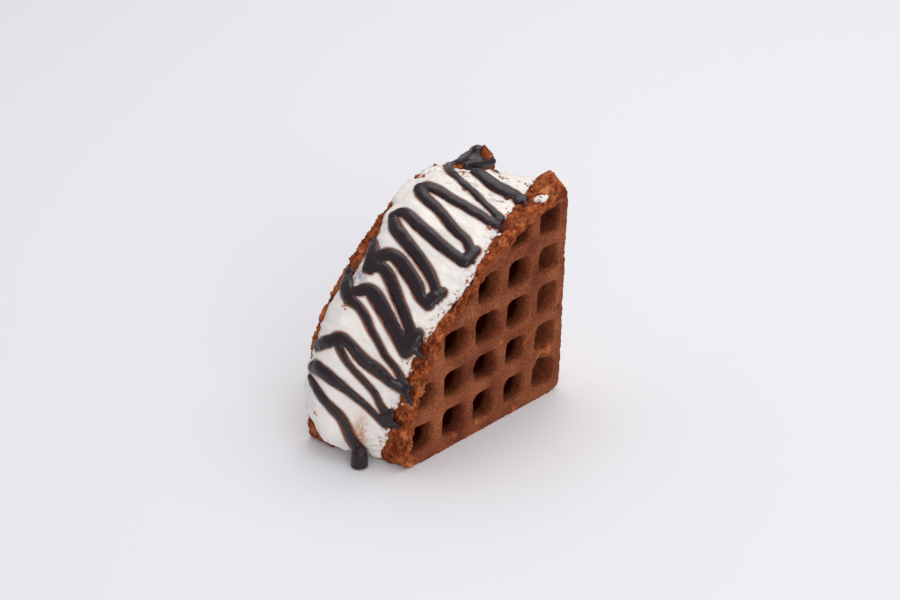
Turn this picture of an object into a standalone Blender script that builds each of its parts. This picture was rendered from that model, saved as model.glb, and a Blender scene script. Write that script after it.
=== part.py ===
"""Ice cream sandwich: two chocolate waffle quarters, vanilla ice cream and a chocolate drizzle.

The piece stands on one straight edge of each quarter. X runs along that edge with the right-angled
corner at +X, Y runs through the sandwich from the front waffle to the back one, and Z is up.
Shapes are laid out with the corner at x = 0, then splayed and moved to the middle of the floor.
"""
import math
from collections import namedtuple

import bmesh
import bpy
from mathutils import Matrix, Vector, noise

# Driving dimensions in metres
WAFFLE_THICKNESS = 0.013
CREAM_THICKNESS = 0.019          # between the waffles at the floor
WAFFLE_RADIUS = 0.089
FRONT_FLAT_SPOT = 0.003          # the front arc is pressed in a little half way up
FLAT_SPOT_AT = (57.0, 17.0)      # its place and half width in degrees up the arc
FRONT_SLANT = 0.0015             # its upright edge leans in by this much at the top
BACK_RADIUS = 0.0914
BACK_ARC_SHIFT = 0.004           # the back quarter was cut a little past its middle
BACK_BULGE = 0.0030
BACK_BULGE_AT = (27.0, 11.0)
BACK_TIP = 0.0025                # the back quarter's upper tip stands up this much
BACK_TIP_AT = (90.0, 4.0)
FRONT_LEAN = math.radians(3.03)  # both waffles lean outwards as they rise
BACK_LEAN = math.radians(2.5)
CORNER_ROUND = 0.006
TOE_ROUND = 0.003
TIP_ROUND = 0.0025
PEAK_RISE = 0.0045               # crumb peak on the inner edge of the front quarter's tip
PEAK_AT = (-0.0015, 0.004)       # its place and half width along X
EDGE_BEVEL = 0.0014
CRUMB_DEPTH = 0.0011
CRUMB_BAND = 0.0025              # how far below the arc the crumbly relief starts
CRUMB_SCALE = 330.0              # crumbs and wider patches, in waves per metre
PATCH_SCALE = 110.0

WELL_PITCH = 0.017
WELL_EDGE = 0.0115
WELL_FLOOR = 0.0080
WELL_DEPTH = 0.0065
WELL_FIRST_X = 0.0105            # first well centre from the straight edges
WELL_FIRST_Z = 0.0110
WELL_ROWS = (5, 4, 4, 3, 1)      # full wells in each row, from the floor up
WELLS_CUT_BY_RIM = ((5, 2), (2, 5))
WELL_CORNER = 0.0022
RIM_WALL = 0.0055

CREAM_CROWN = 0.0070
CREAM_FLOOR_GAP = 0.0015
CREAM_EDGE_GAP = 0.0012          # the filling ends this far short of the upright edges
CREAM_LUMP = 0.0004
CREAM_SHELL = 0.009              # depth of the crowned band below its surface
FRONT_LAP = 0.0095               # how far the cream laps over the front and back rims
FRONT_LAP_END = 84.0             # degrees up the arc
BACK_LAP = 0.010
BACK_LAP_BULGE = 0.0045
BACK_LAP_BULGE_AT = (14.0, 6.0)
LIP_DEGREES = 2.6                # the band starts this far up the arc
NEIGHBOUR_GAP = 0.00035

DRIP_PLACE = (-0.0965, 0.0154)
DRIP_RADIUS = 0.0032
DRIP_HEIGHT = 0.0090
DRIP_RUN_RADIUS = 0.0026

# Middle of the finished piece's box, measured from the right-angled corner
BOX_MIDDLE = (-0.0513, 0.0222)

# Strokes of the drizzle, each through three places given as degrees up the arc and millimetres
# across from the front face, at its back, middle and front, and then its width in millimetres
STROKES = (
    ((80.0, 42), (83.0, 41), (86.5, 37), 3.0),
    ((86.5, 37), (85.0, 31), (81.9, 24), 3.4),
    ((78.5, 26), (77.8, 17), (78.8, 9), 4.2),
    ((80.0, 42), (72.0, 26), (69.5, 11), 3.6),
    ((66.5, 35), (68.6, 24), (67.5, 11), 4.2),
    ((66.5, 35), (62.0, 24), (57.5, 8), 3.8),
    ((57.5, 36), (58.2, 24), (55.0, 8), 4.4),
    ((57.5, 36), (51.5, 23), (45.0, 8), 4.2),
    ((49.5, 36), (47.5, 27), (42.0, 9), 3.6),
    ((49.5, 36), (47.5, 33), (44.7, 31), 4.0),
    ((44.7, 31), (41.5, 21), (33.5, 8), 4.6),
    ((41.0, 42), (40.0, 37), (39.2, 31), 4.2),
    ((39.2, 31), (35.5, 21), (29.5, 9), 4.6),
    ((40.5, 41), (31.5, 22), (21.0, 5), 3.2),
    ((22.7, 41), (26.5, 33), (28.0, 28), 4.6),
    ((28.0, 28), (23.4, 16), (20.5, 4), 4.2),
    ((27.0, 28), (18.5, 17), (12.3, 8), 3.6),
    ((19.0, 41), (17.2, 24), (11.5, 10), 4.0),
    ((16.5, 42), (12.3, 28), (5.5, 20), 4.4),
)
POOLS = ((69, 10), (79, 10), (57, 8), (44, 8), (33, 8), (30, 9), (20, 5), (12, 8))
POOL_RADIUS = 0.0030

SPAN_IN = WAFFLE_THICKNESS
SPAN_OUT = WAFFLE_THICKNESS + CREAM_THICKNESS
DEPTH = 2.0 * WAFFLE_THICKNESS + CREAM_THICKNESS
MM = 0.001


def bump(value, centre, width):
    """Bell curve of height 1."""
    return math.exp(-((value - centre) / width) ** 2)


def ease(start, end, value):
    """Smooth step from 0 to 1."""
    t = min(max((value - start) / (end - start), 0.0), 1.0)
    return t * t * (3.0 - 2.0 * t)


def mix(a, b, t):
    return a + (b - a) * t


def front_radius(degrees):
    return WAFFLE_RADIUS - FRONT_FLAT_SPOT * bump(degrees, *FLAT_SPOT_AT)


def back_radius(degrees):
    """Radius from the corner of an arc whose centre lies BACK_ARC_SHIFT along the floor."""
    angle = math.radians(degrees)
    radius = BACK_RADIUS + BACK_BULGE * bump(degrees, *BACK_BULGE_AT)
    radius += BACK_TIP * bump(degrees, *BACK_TIP_AT)
    across = BACK_ARC_SHIFT * math.sin(angle)
    return BACK_ARC_SHIFT * math.cos(angle) + math.sqrt(radius ** 2 - across ** 2)


Quarter = namedtuple("Quarter", "name radius_rule slant start face inward peak seed")
FRONT = Quarter("waffle_front", front_radius, FRONT_SLANT, 0.0, 0.0, 1, PEAK_RISE, 11.0)
BACK = Quarter("waffle_back", back_radius, 0.0, SPAN_OUT, DEPTH, -1, 0.0, 29.0)


def splay(across, height):
    """Place across the sandwich once the waffles lean apart."""
    t = min(max((across - SPAN_IN) / CREAM_THICKNESS, 0.0), 1.0)
    return across + height * mix(-math.tan(FRONT_LEAN), math.tan(BACK_LEAN), t)


def placed(point):
    """Corner-based layout point to the finished frame."""
    return Vector((point[0] - BOX_MIDDLE[0], splay(point[1], point[2]) - BOX_MIDDLE[1], point[2]))


def cream_front_edge(degrees):
    """How far across the cream starts: it laps over the front rim half way up the arc."""
    share = min(max(degrees / FRONT_LAP_END, 0.0), 1.0)
    return SPAN_IN - FRONT_LAP * max(math.sin(math.pi * share), 0.0) ** 0.8


def cream_back_edge(degrees):
    """How far across the cream ends: it draws back to the filling at the toe and the tip."""
    lap = BACK_LAP * (ease(0.0, 6.0, degrees) - ease(76.0, 86.0, degrees))
    return SPAN_OUT + lap + BACK_LAP_BULGE * bump(degrees, *BACK_LAP_BULGE_AT)


def cream_radius(degrees, across):
    """Outer surface of the cream, crowned between its two edges and sunk at the top end."""
    rim = mix(front_radius(degrees), back_radius(degrees), ease(SPAN_IN, SPAN_OUT, across))
    start = cream_front_edge(degrees)
    end = cream_back_edge(degrees)
    s = (across - start) / (end - start)
    if 0.0 < s < 1.0:
        height = CREAM_CROWN - 0.0022 * ease(0.0, 45.0, degrees) - 0.0015 * ease(55.0, 85.0, degrees)
        height *= 0.5 + 0.5 * ease(1.0, 8.0, degrees)
        fullness = (1.0 - abs(2.0 * s - 1.0) ** 2.6) ** 0.8
        lump = CREAM_LUMP * noise.noise(Vector((degrees * 0.11, across * 90.0, 3.0)))
        crown = NEIGHBOUR_GAP + fullness * (height + 2.0 * lump)
    else:
        beyond = (end - start) * max(-s, s - 1.0)
        crown = NEIGHBOUR_GAP - min(beyond, 0.0015)
    sunk = ease(78.0, 90.0, degrees) * (0.003 + 0.007 * ease(0.010, 0.034, across))
    return rim + crown - sunk


def arc_point(degrees, radius, across):
    angle = math.radians(degrees)
    return Vector((-radius * math.cos(angle), across, radius * math.sin(angle)))


def new_material(name, colour, roughness):
    material = bpy.data.materials.new(name)
    material.use_nodes = True
    shader = material.node_tree.nodes["Principled BSDF"]
    shader.inputs["Base Color"].default_value = (*colour, 1.0)
    shader.inputs["Roughness"].default_value = roughness
    return material


def new_object(name, mesh, collection):
    obj = bpy.data.objects.new(name, mesh)
    collection.objects.link(obj)
    return obj


def evaluated_copy(obj, collection):
    """The object's evaluated mesh as a new plain object in world space; the old one goes."""
    bpy.context.view_layer.update()
    depsgraph = bpy.context.evaluated_depsgraph_get()
    mesh = bpy.data.meshes.new_from_object(obj.evaluated_get(depsgraph))
    mesh.transform(obj.matrix_world)
    bm = bmesh.new()
    bm.from_mesh(mesh)
    bmesh.ops.remove_doubles(bm, verts=bm.verts, dist=0.000002)
    bmesh.ops.recalc_face_normals(bm, faces=bm.faces)
    bm.to_mesh(mesh)
    bm.free()
    name = obj.name
    bpy.data.objects.remove(obj, do_unlink=True)
    return new_object(name, mesh, collection)


def move_points(obj, rule):
    for vertex in obj.data.vertices:
        vertex.co = rule(vertex.co)
    obj.data.update()


def rounded_corner(corner, before, after, radius, steps):
    """Points of a round at a corner, between the directions to its two neighbours."""
    corner = Vector(corner)
    towards_before = (Vector(before) - corner).normalized()
    towards_after = (Vector(after) - corner).normalized()
    start = corner + towards_before * radius
    end = corner + towards_after * radius
    points = []
    for step in range(steps + 1):
        t = step / steps
        points.append(start.lerp(corner, t).lerp(corner.lerp(end, t), t))
    return points


def quarter_outline(radius_rule, slant, grow, arc_steps):
    """Outline in the X-Z plane: corner, floor edge, arc from the toe to the top, upright edge."""
    corner = Vector((grow, -grow))
    toe = Vector((-radius_rule(0.0) - grow, -grow))
    top = Vector((grow - slant, radius_rule(90.0) + grow))
    first = math.degrees(TOE_ROUND / WAFFLE_RADIUS)
    last = 90.0 - math.degrees((TIP_ROUND + slant) / WAFFLE_RADIUS)
    arc = []
    for step in range(arc_steps + 1):
        degrees = mix(first, last, step / arc_steps)
        angle = math.radians(degrees)
        radius = radius_rule(degrees) + grow
        arc.append(Vector((-radius * math.cos(angle), radius * math.sin(angle))))
    points = rounded_corner(corner, top, toe, CORNER_ROUND, 5)
    points += rounded_corner(toe, corner, arc[0], TOE_ROUND, 4)[:-1]
    points += arc
    points += rounded_corner(top, arc[-1], corner, TIP_ROUND, 3)[1:]
    return points


def extruded_outline(name, points, start, end, collection):
    """Flat outline in the X-Z plane made a slab between two places across the sandwich."""
    curve = bpy.data.curves.new(name, "CURVE")
    curve.dimensions = "2D"
    curve.fill_mode = "BOTH"
    curve.extrude = (end - start) / 2.0
    spline = curve.splines.new("POLY")
    spline.points.add(len(points) - 1)
    for target, point in zip(spline.points, points):
        target.co = (point[0], point[1], 0.0, 1.0)
    spline.use_cyclic_u = True
    obj = new_object(name, curve, collection)
    upright = Matrix.Rotation(math.pi / 2.0, 4, "X")
    obj.matrix_world = Matrix.Translation((0.0, (start + end) / 2.0, 0.0)) @ upright
    return evaluated_copy(obj, collection)


def well_cutter(name, column, row, quarter, collection):
    """Tapered pocket with rounded corners, pressed in from the quarter's outward face."""
    overshoot = 0.001
    slope = (WELL_EDGE - WELL_FLOOR) / WELL_DEPTH
    outer = (WELL_EDGE + slope * overshoot) / math.sqrt(2.0)
    inner = WELL_FLOOR / math.sqrt(2.0)
    bm = bmesh.new()
    bmesh.ops.create_cone(bm, cap_ends=True, segments=4, radius1=outer, radius2=inner,
                          depth=WELL_DEPTH + overshoot)
    bmesh.ops.rotate(bm, verts=bm.verts, matrix=Matrix.Rotation(math.pi / 4.0, 3, "Z"))
    flanks = [edge for edge in bm.edges if abs(edge.verts[0].co.z - edge.verts[1].co.z) > 0.001]
    bmesh.ops.bevel(bm, geom=flanks, offset=WELL_CORNER, segments=3, profile=0.5, affect="EDGES")
    mesh = bpy.data.meshes.new(name)
    bmesh.ops.recalc_face_normals(bm, faces=bm.faces)
    bm.to_mesh(mesh)
    bm.free()
    turn = Matrix.Rotation(-math.pi / 2.0 * quarter.inward, 4, "X")
    middle = quarter.face + quarter.inward * (WELL_DEPTH - overshoot) / 2.0
    x = -WELL_FIRST_X - WELL_PITCH * (column - 1)
    z = WELL_FIRST_Z + WELL_PITCH * (row - 1)
    mesh.transform(Matrix.Translation((x, middle, z)) @ turn)
    return new_object(name, mesh, collection)


def add_boolean(obj, operation, other=None, group=None):
    """A Boolean with one object or a whole collection; the exact solver leaves slivers here."""
    modifier = obj.modifiers.new(operation.title(), "BOOLEAN")
    modifier.operation = operation
    modifier.solver = "MANIFOLD"
    if group is None:
        modifier.object = other
    else:
        modifier.operand_type = "COLLECTION"
        modifier.collection = group
    return modifier


def clear_group(group):
    for obj in list(group.objects):
        bpy.data.objects.remove(obj, do_unlink=True)
    bpy.data.collections.remove(group)


def new_group(name):
    group = bpy.data.collections.new(name)
    bpy.context.scene.collection.children.link(group)
    return group


def drop_scraps(obj):
    """Keep only the largest connected body of a mesh."""
    bm = bmesh.new()
    bm.from_mesh(obj.data)
    bodies = []
    seen = set()
    for first in bm.verts:
        if first in seen:
            continue
        body = [first]
        seen.add(first)
        for vertex in body:
            for edge in vertex.link_edges:
                other = edge.other_vert(vertex)
                if other not in seen:
                    seen.add(other)
                    body.append(other)
        bodies.append(body)
    bodies.sort(key=len)
    for body in bodies[:-1]:
        bmesh.ops.delete(bm, geom=body, context="VERTS")
    bm.to_mesh(obj.data)
    bm.free()


def roughen_rim(obj, quarter):
    """Crumbly relief dug into the arc's rim, and the crumb peak on the tip's inner edge."""
    middle = quarter.start + WAFFLE_THICKNESS / 2.0
    bm = bmesh.new()
    bm.from_mesh(obj.data)
    for vertex in bm.verts:
        degrees = math.degrees(math.atan2(vertex.co.z, -vertex.co.x))
        reach = math.hypot(vertex.co.x, vertex.co.z)
        if not 0.5 < degrees < 92.0 or reach < quarter.radius_rule(degrees) - CRUMB_BAND:
            continue
        grain = Vector((vertex.co.x, vertex.co.y + quarter.seed, vertex.co.z)) * CRUMB_SCALE
        patch = Vector((vertex.co.x, quarter.seed, vertex.co.z)) * PATCH_SCALE
        share = 0.5 + 0.9 * noise.noise(grain) + 0.5 * noise.noise(patch)
        dig = CRUMB_DEPTH * min(max(share, 0.0), 1.0)
        scale = (reach - dig) / reach
        vertex.co.x *= scale
        vertex.co.z = max(vertex.co.z * scale, 0.0)
        rise = quarter.peak * bump(vertex.co.x, *PEAK_AT)
        vertex.co.z += rise * ease(middle - 0.002, middle + 0.005, vertex.co.y)
    bm.to_mesh(obj.data)
    bm.free()


def make_waffle(quarter, material, parts):
    """One waffle quarter with its wells pressed into the outward face."""
    start = quarter.start
    end = start + WAFFLE_THICKNESS
    outline = quarter_outline(quarter.radius_rule, quarter.slant, 0.0, 54)
    obj = extruded_outline(quarter.name, outline, start, end, parts)
    bevel = obj.modifiers.new("Edges", "BEVEL")
    bevel.width = EDGE_BEVEL
    bevel.segments = 2
    bevel.limit_method = "ANGLE"
    bevel.angle_limit = math.radians(60.0)
    obj = evaluated_copy(obj, parts)
    bm = bmesh.new()
    bm.from_mesh(obj.data)
    for share in (0.3, 0.55, 0.8):
        cut = Vector((0.0, mix(start, end, share), 0.0))
        geometry = bm.verts[:] + bm.edges[:] + bm.faces[:]
        bmesh.ops.bisect_plane(bm, geom=geometry, dist=0.00001, plane_co=cut, plane_no=(0.0, 1.0, 0.0))
    bm.to_mesh(obj.data)
    bm.free()
    roughen_rim(obj, quarter)
    wells = new_group(quarter.name + "_wells")
    for row, count in enumerate(WELL_ROWS, start=1):
        for column in range(1, count + 1):
            well_cutter("well", column, row, quarter, wells)
    disc_outline = quarter_outline(quarter.radius_rule, quarter.slant, -RIM_WALL, 48)
    disc = extruded_outline("rim_wall", disc_outline, start - 0.002, end + 0.002, parts)
    for column, row in WELLS_CUT_BY_RIM:
        cutter = well_cutter("well", column, row, quarter, wells)
        add_boolean(cutter, "INTERSECT", other=disc)
        evaluated_copy(cutter, wells)
    bpy.data.objects.remove(disc, do_unlink=True)
    add_boolean(obj, "DIFFERENCE", group=wells)
    obj = evaluated_copy(obj, parts)
    clear_group(wells)
    move_points(obj, placed)
    obj.data.materials.clear()
    obj.data.materials.append(material)


def cream_cap(group):
    """The crowned band of cream along the arc, lofted between its outer and inner surface."""
    rows = 38
    columns = 15
    bm = bmesh.new()
    outer = []
    inner = []
    for i in range(rows + 1):
        outer_row = []
        inner_row = []
        for j in range(columns + 1):
            across = mix(0.0005, DEPTH - 0.0005, j / columns)
            lip = LIP_DEGREES + 2.4 * ease(0.034, 0.042, across)
            lip -= 2.2 * (1.0 - ease(0.010, 0.017, across))
            jag = 0.5 * noise.noise(Vector((across * 240.0, 7.0, 0.0)))
            degrees = mix(lip + jag, 90.0, (i / rows) ** 1.06)
            radius = cream_radius(degrees, across)
            top_cut = -0.0010 if i == rows else 0.0
            outer_point = arc_point(degrees, radius, across) + Vector((top_cut, 0.0, 0.0))
            inner_point = arc_point(degrees, radius - CREAM_SHELL, across) + Vector((top_cut, 0.0, 0.0))
            outer_row.append(bm.verts.new(placed(outer_point)))
            inner_row.append(bm.verts.new(placed(inner_point)))
        outer.append(outer_row)
        inner.append(inner_row)
    for i in range(rows):
        for j in range(columns):
            bm.faces.new((outer[i][j], outer[i][j + 1], outer[i + 1][j + 1], outer[i + 1][j]))
            bm.faces.new((inner[i][j], inner[i + 1][j], inner[i + 1][j + 1], inner[i][j + 1]))
    for i in range(rows):
        for j in (0, columns):
            bm.faces.new((outer[i][j], outer[i + 1][j], inner[i + 1][j], inner[i][j]))
    for j in range(columns):
        for i in (0, rows):
            bm.faces.new((outer[i][j], outer[i][j + 1], inner[i][j + 1], inner[i][j]))
    bmesh.ops.recalc_face_normals(bm, faces=bm.faces)
    mesh = bpy.data.meshes.new("cream_cap")
    bm.to_mesh(mesh)
    bm.free()
    return new_object("cream_cap", mesh, group)


def cream_slab(group, parts):
    """The filling between the two waffles, a little short of every straight edge."""
    def slab_radius(degrees):
        return min(cream_radius(degrees, share * MM) for share in (14.0, 22.0, 31.0)) - 0.003

    points = []
    for point in quarter_outline(slab_radius, FRONT_SLANT, 0.0, 30):
        points.append(Vector((point[0] - CREAM_EDGE_GAP, max(point[1], CREAM_FLOOR_GAP))))
    obj = extruded_outline("cream_slab", points, SPAN_IN - 0.002, SPAN_OUT + 0.002, parts)
    move_points(obj, placed)
    parts.objects.unlink(obj)
    group.objects.link(obj)
    return obj


def stroke_points(stroke, steps):
    """Points on the cream along a parabola through the stroke's three places."""
    back, middle, front, _width = stroke
    points = []
    for step in range(steps + 1):
        t = step / steps
        shares = ((1.0 - t) * (1.0 - 2.0 * t), 4.0 * t * (1.0 - t), t * (2.0 * t - 1.0))
        degrees = sum(share * place[0] for share, place in zip(shares, (back, middle, front)))
        across = MM * sum(share * place[1] for share, place in zip(shares, (back, middle, front)))
        radius = cream_radius(degrees, across)
        if degrees > 80.0 and across > SPAN_OUT - 0.003:
            radius = max(radius, back_radius(degrees) + 0.0005)
        points.append(placed(arc_point(degrees, radius + 0.0002, across)))
    return points


def tube(name, points, radius, group, parts):
    curve = bpy.data.curves.new(name, "CURVE")
    curve.dimensions = "3D"
    curve.bevel_depth = radius
    curve.bevel_resolution = 2
    curve.use_fill_caps = True
    spline = curve.splines.new("POLY")
    spline.points.add(len(points) - 1)
    for target, point in zip(spline.points, points):
        target.co = (*point, 1.0)
    obj = evaluated_copy(new_object(name, curve, parts), parts)
    parts.objects.unlink(obj)
    group.objects.link(obj)
    return obj


def pool(name, place, radius, group):
    degrees, across = place
    across *= MM
    centre = placed(arc_point(degrees, cream_radius(degrees, across) - 0.0008, across))
    bm = bmesh.new()
    bmesh.ops.create_uvsphere(bm, u_segments=12, v_segments=8, radius=radius)
    bmesh.ops.translate(bm, verts=bm.verts, vec=centre)
    mesh = bpy.data.meshes.new(name)
    bm.to_mesh(mesh)
    bm.free()
    return new_object(name, mesh, group)


def make_drip(group):
    """The run of syrup that hangs from the toe's lip and stands on the surface below."""
    bm = bmesh.new()
    bmesh.ops.create_cone(bm, cap_ends=True, segments=16, radius1=DRIP_RADIUS * 1.06,
                          radius2=DRIP_RADIUS * 0.94, depth=DRIP_HEIGHT)
    x = DRIP_PLACE[0] - BOX_MIDDLE[0]
    y = DRIP_PLACE[1] - BOX_MIDDLE[1]
    bmesh.ops.translate(bm, verts=bm.verts, vec=(x, y, DRIP_HEIGHT / 2.0))
    mesh = bpy.data.meshes.new("drip")
    bm.to_mesh(mesh)
    bm.free()
    return new_object("drip", mesh, group)


def make_ice_cream(material, parts):
    """Filling, crowned band and thick drizzle in one solid, clear of both waffles."""
    group = new_group("cream_pieces")
    cap = cream_cap(parts)
    cream_slab(group, parts)
    for index, stroke in enumerate(STROKES):
        tube("stroke_%02d" % index, stroke_points(stroke, 6), stroke[3] * MM / 2.0, group, parts)
    for index, place in enumerate(POOLS):
        pool("pool_%02d" % index, place, POOL_RADIUS, group)
    make_drip(group)
    lip = stroke_points(STROKES[-1], 6)[-1]
    top = Vector((DRIP_PLACE[0] - BOX_MIDDLE[0], DRIP_PLACE[1] - BOX_MIDDLE[1], DRIP_HEIGHT - 0.002))
    tube("drip_run", [lip, lip.lerp(top, 0.6), top], DRIP_RUN_RADIUS, group, parts)
    cap.name = "ice_cream"
    add_boolean(cap, "UNION", group=group)
    cap = evaluated_copy(cap, parts)
    clear_group(group)
    room = new_group("waffle_room")
    for quarter in (FRONT, BACK):
        outline = quarter_outline(quarter.radius_rule, quarter.slant, NEIGHBOUR_GAP, 54)
        start = quarter.start - NEIGHBOUR_GAP
        end = quarter.start + WAFFLE_THICKNESS + NEIGHBOUR_GAP
        shape = extruded_outline(quarter.name + "_room", outline, start, end, parts)
        move_points(shape, placed)
        parts.objects.unlink(shape)
        room.objects.link(shape)
    add_boolean(cap, "DIFFERENCE", group=room)
    cap = evaluated_copy(cap, parts)
    clear_group(room)
    drop_scraps(cap)
    cap.data.materials.clear()
    cap.data.materials.append(material)
    return cap


def main():
    for obj in list(bpy.data.objects):
        bpy.data.objects.remove(obj, do_unlink=True)
    parts = new_group("waffle_ice_cream_sandwich")
    crumb = new_material("chocolate_waffle", (0.27, 0.085, 0.030), 0.85)
    cream = new_material("vanilla_cream", (0.86, 0.80, 0.72), 0.45)
    for quarter in (FRONT, BACK):
        make_waffle(quarter, crumb, parts)
    make_ice_cream(cream, parts)


main()
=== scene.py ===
import math
from collections import namedtuple

import bmesh
import bpy
from bpy.props import FloatProperty, PointerProperty, StringProperty
from mathutils import Matrix, Vector, kdtree, noise


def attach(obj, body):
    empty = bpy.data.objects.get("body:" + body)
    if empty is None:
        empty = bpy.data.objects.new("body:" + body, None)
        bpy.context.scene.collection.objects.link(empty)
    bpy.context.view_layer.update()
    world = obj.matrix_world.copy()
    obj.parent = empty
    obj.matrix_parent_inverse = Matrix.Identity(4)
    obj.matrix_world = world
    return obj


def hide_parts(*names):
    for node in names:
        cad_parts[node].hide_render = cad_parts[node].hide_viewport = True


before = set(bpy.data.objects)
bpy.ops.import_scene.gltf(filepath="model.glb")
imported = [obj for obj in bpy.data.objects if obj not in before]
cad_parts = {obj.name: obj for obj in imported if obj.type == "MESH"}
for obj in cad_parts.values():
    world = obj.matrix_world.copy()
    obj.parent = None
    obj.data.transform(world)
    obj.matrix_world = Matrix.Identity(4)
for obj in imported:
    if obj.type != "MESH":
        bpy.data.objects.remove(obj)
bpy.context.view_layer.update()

bl_info = {
    "name": "Waffle Ice Cream Sandwich",
    "version": (1, 0, 0),
    "blender": (4, 5, 0),
    "location": "View3D > Sidebar > Sandwich",
    "description": "Builds a quarter-round chocolate waffle sandwich with ice cream and chocolate syrup",
    "category": "Add Mesh",
}

# The layout is the frame's own: its right-angled corner at x = 0, the arc towards -X, the floor at
# z = 0, and "across" the place through the sandwich at the floor, measured from its front face.
MM = 0.001
WAFFLE_THICKNESS = 0.013
CREAM_THICKNESS = 0.019
WAFFLE_RADIUS = 0.089
FRONT_FLAT_SPOT = 0.003          # the front arc is pressed in a little half way up
FLAT_SPOT_AT = (57.0, 17.0)      # its place and half width in degrees up the arc
FRONT_SLANT = 0.0015             # its upright edge leans in by this much at the top
BACK_RADIUS = 0.0914
BACK_ARC_SHIFT = 0.004           # the back quarter was cut a little past its middle
BACK_BULGE = 0.0030
BACK_BULGE_AT = (27.0, 11.0)
BACK_TIP = 0.0025                # the back quarter's upper tip stands up this much
BACK_TIP_AT = (90.0, 4.0)
BREAK_START = 0.0340             # the tip's outer side is broken off from this place across
BREAK_WIDTH = 0.0105
BREAK_DEPTH = 0.0056
TIP_END_DEPTH = 0.0034
SPIKE_RISE = 0.0034              # one spike of crumb still stands on the broken tip
SPIKE_AT = (87.4, 1.0)           # its place and half width in degrees up the arc
SPIKE_ACROSS = (0.0345, 0.0022)
FRONT_LEAN = math.radians(3.03)  # both waffles lean outwards as they rise
BACK_LEAN = math.radians(2.5)
CORNER_ROUND = 0.006
TOE_ROUND = 0.003
TIP_ROUND = 0.0025
PEAK_RISE = 0.0058               # crumb peak on the inner edge of the front quarter's tip
PEAK_AT = (-0.0015, 0.0060)      # its place and half width along X
BOX_MIDDLE = (-0.0513, 0.0222)   # where the frame's origin lies in the layout

# Wells: full ones in each row, from the floor up, and those that the rim cuts
WELL_ROWS = (5, 4, 4, 3, 1)
WELLS_CUT_BY_RIM = ((5, 2), (2, 5))
WELL_FIRST_X = 0.0105
WELL_FIRST_Z = 0.0110

# Cream: how far it laps over the rims, in metres and degrees up the arc
CREAM_CROWN = 0.0070
CREAM_FLOOR_GAP = 0.0015
CREAM_EDGE_GAP = 0.0012          # the filling ends this far short of the upright edges
CREAM_BAND = 0.010               # depth of the lapped band below its surface
CREAM_LOWEST = 0.0003
FRONT_LAP = 0.0095
FRONT_LAP_END = 84.0
FRONT_LAP_BULGE = 0.0022
FRONT_LAP_BULGE_AT = (50.0, 10.0)
FRONT_LAP_HOLLOW = 0.0022
FRONT_LAP_HOLLOW_AT = (28.0, 6.0)
BACK_LAP = 0.010
BACK_LAP_BULGE = 0.0045
BACK_LAP_BULGE_AT = (14.0, 6.0)
BACK_LAP_BARE = 0.0036           # half way up the back rim the lap is shorter by this
BACK_LAP_FULL = 0.0034           # and higher up it is longer by this
BACK_LAP_GAP = 0.0030
BACK_LAP_GAP_AT = (70.3, 1.7)
LIP_DEGREES = 2.6                # the band starts this far up the arc
LAST_DEGREES = 89.4              # and ends here
TOP_SINK = 0.0078                # how far the cream has sunk at its top end
BACK_SINK = 0.0062               # and how much further towards the back
NEIGHBOUR_GAP = 0.00035          # its edges stand this far off the rims
ROOM_INSET = 0.0004              # the cream reaches this far into a waffle's plain outline

SPAN_IN = WAFFLE_THICKNESS
SPAN_OUT = WAFFLE_THICKNESS + CREAM_THICKNESS
DEPTH = 2.0 * WAFFLE_THICKNESS + CREAM_THICKNESS

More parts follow.
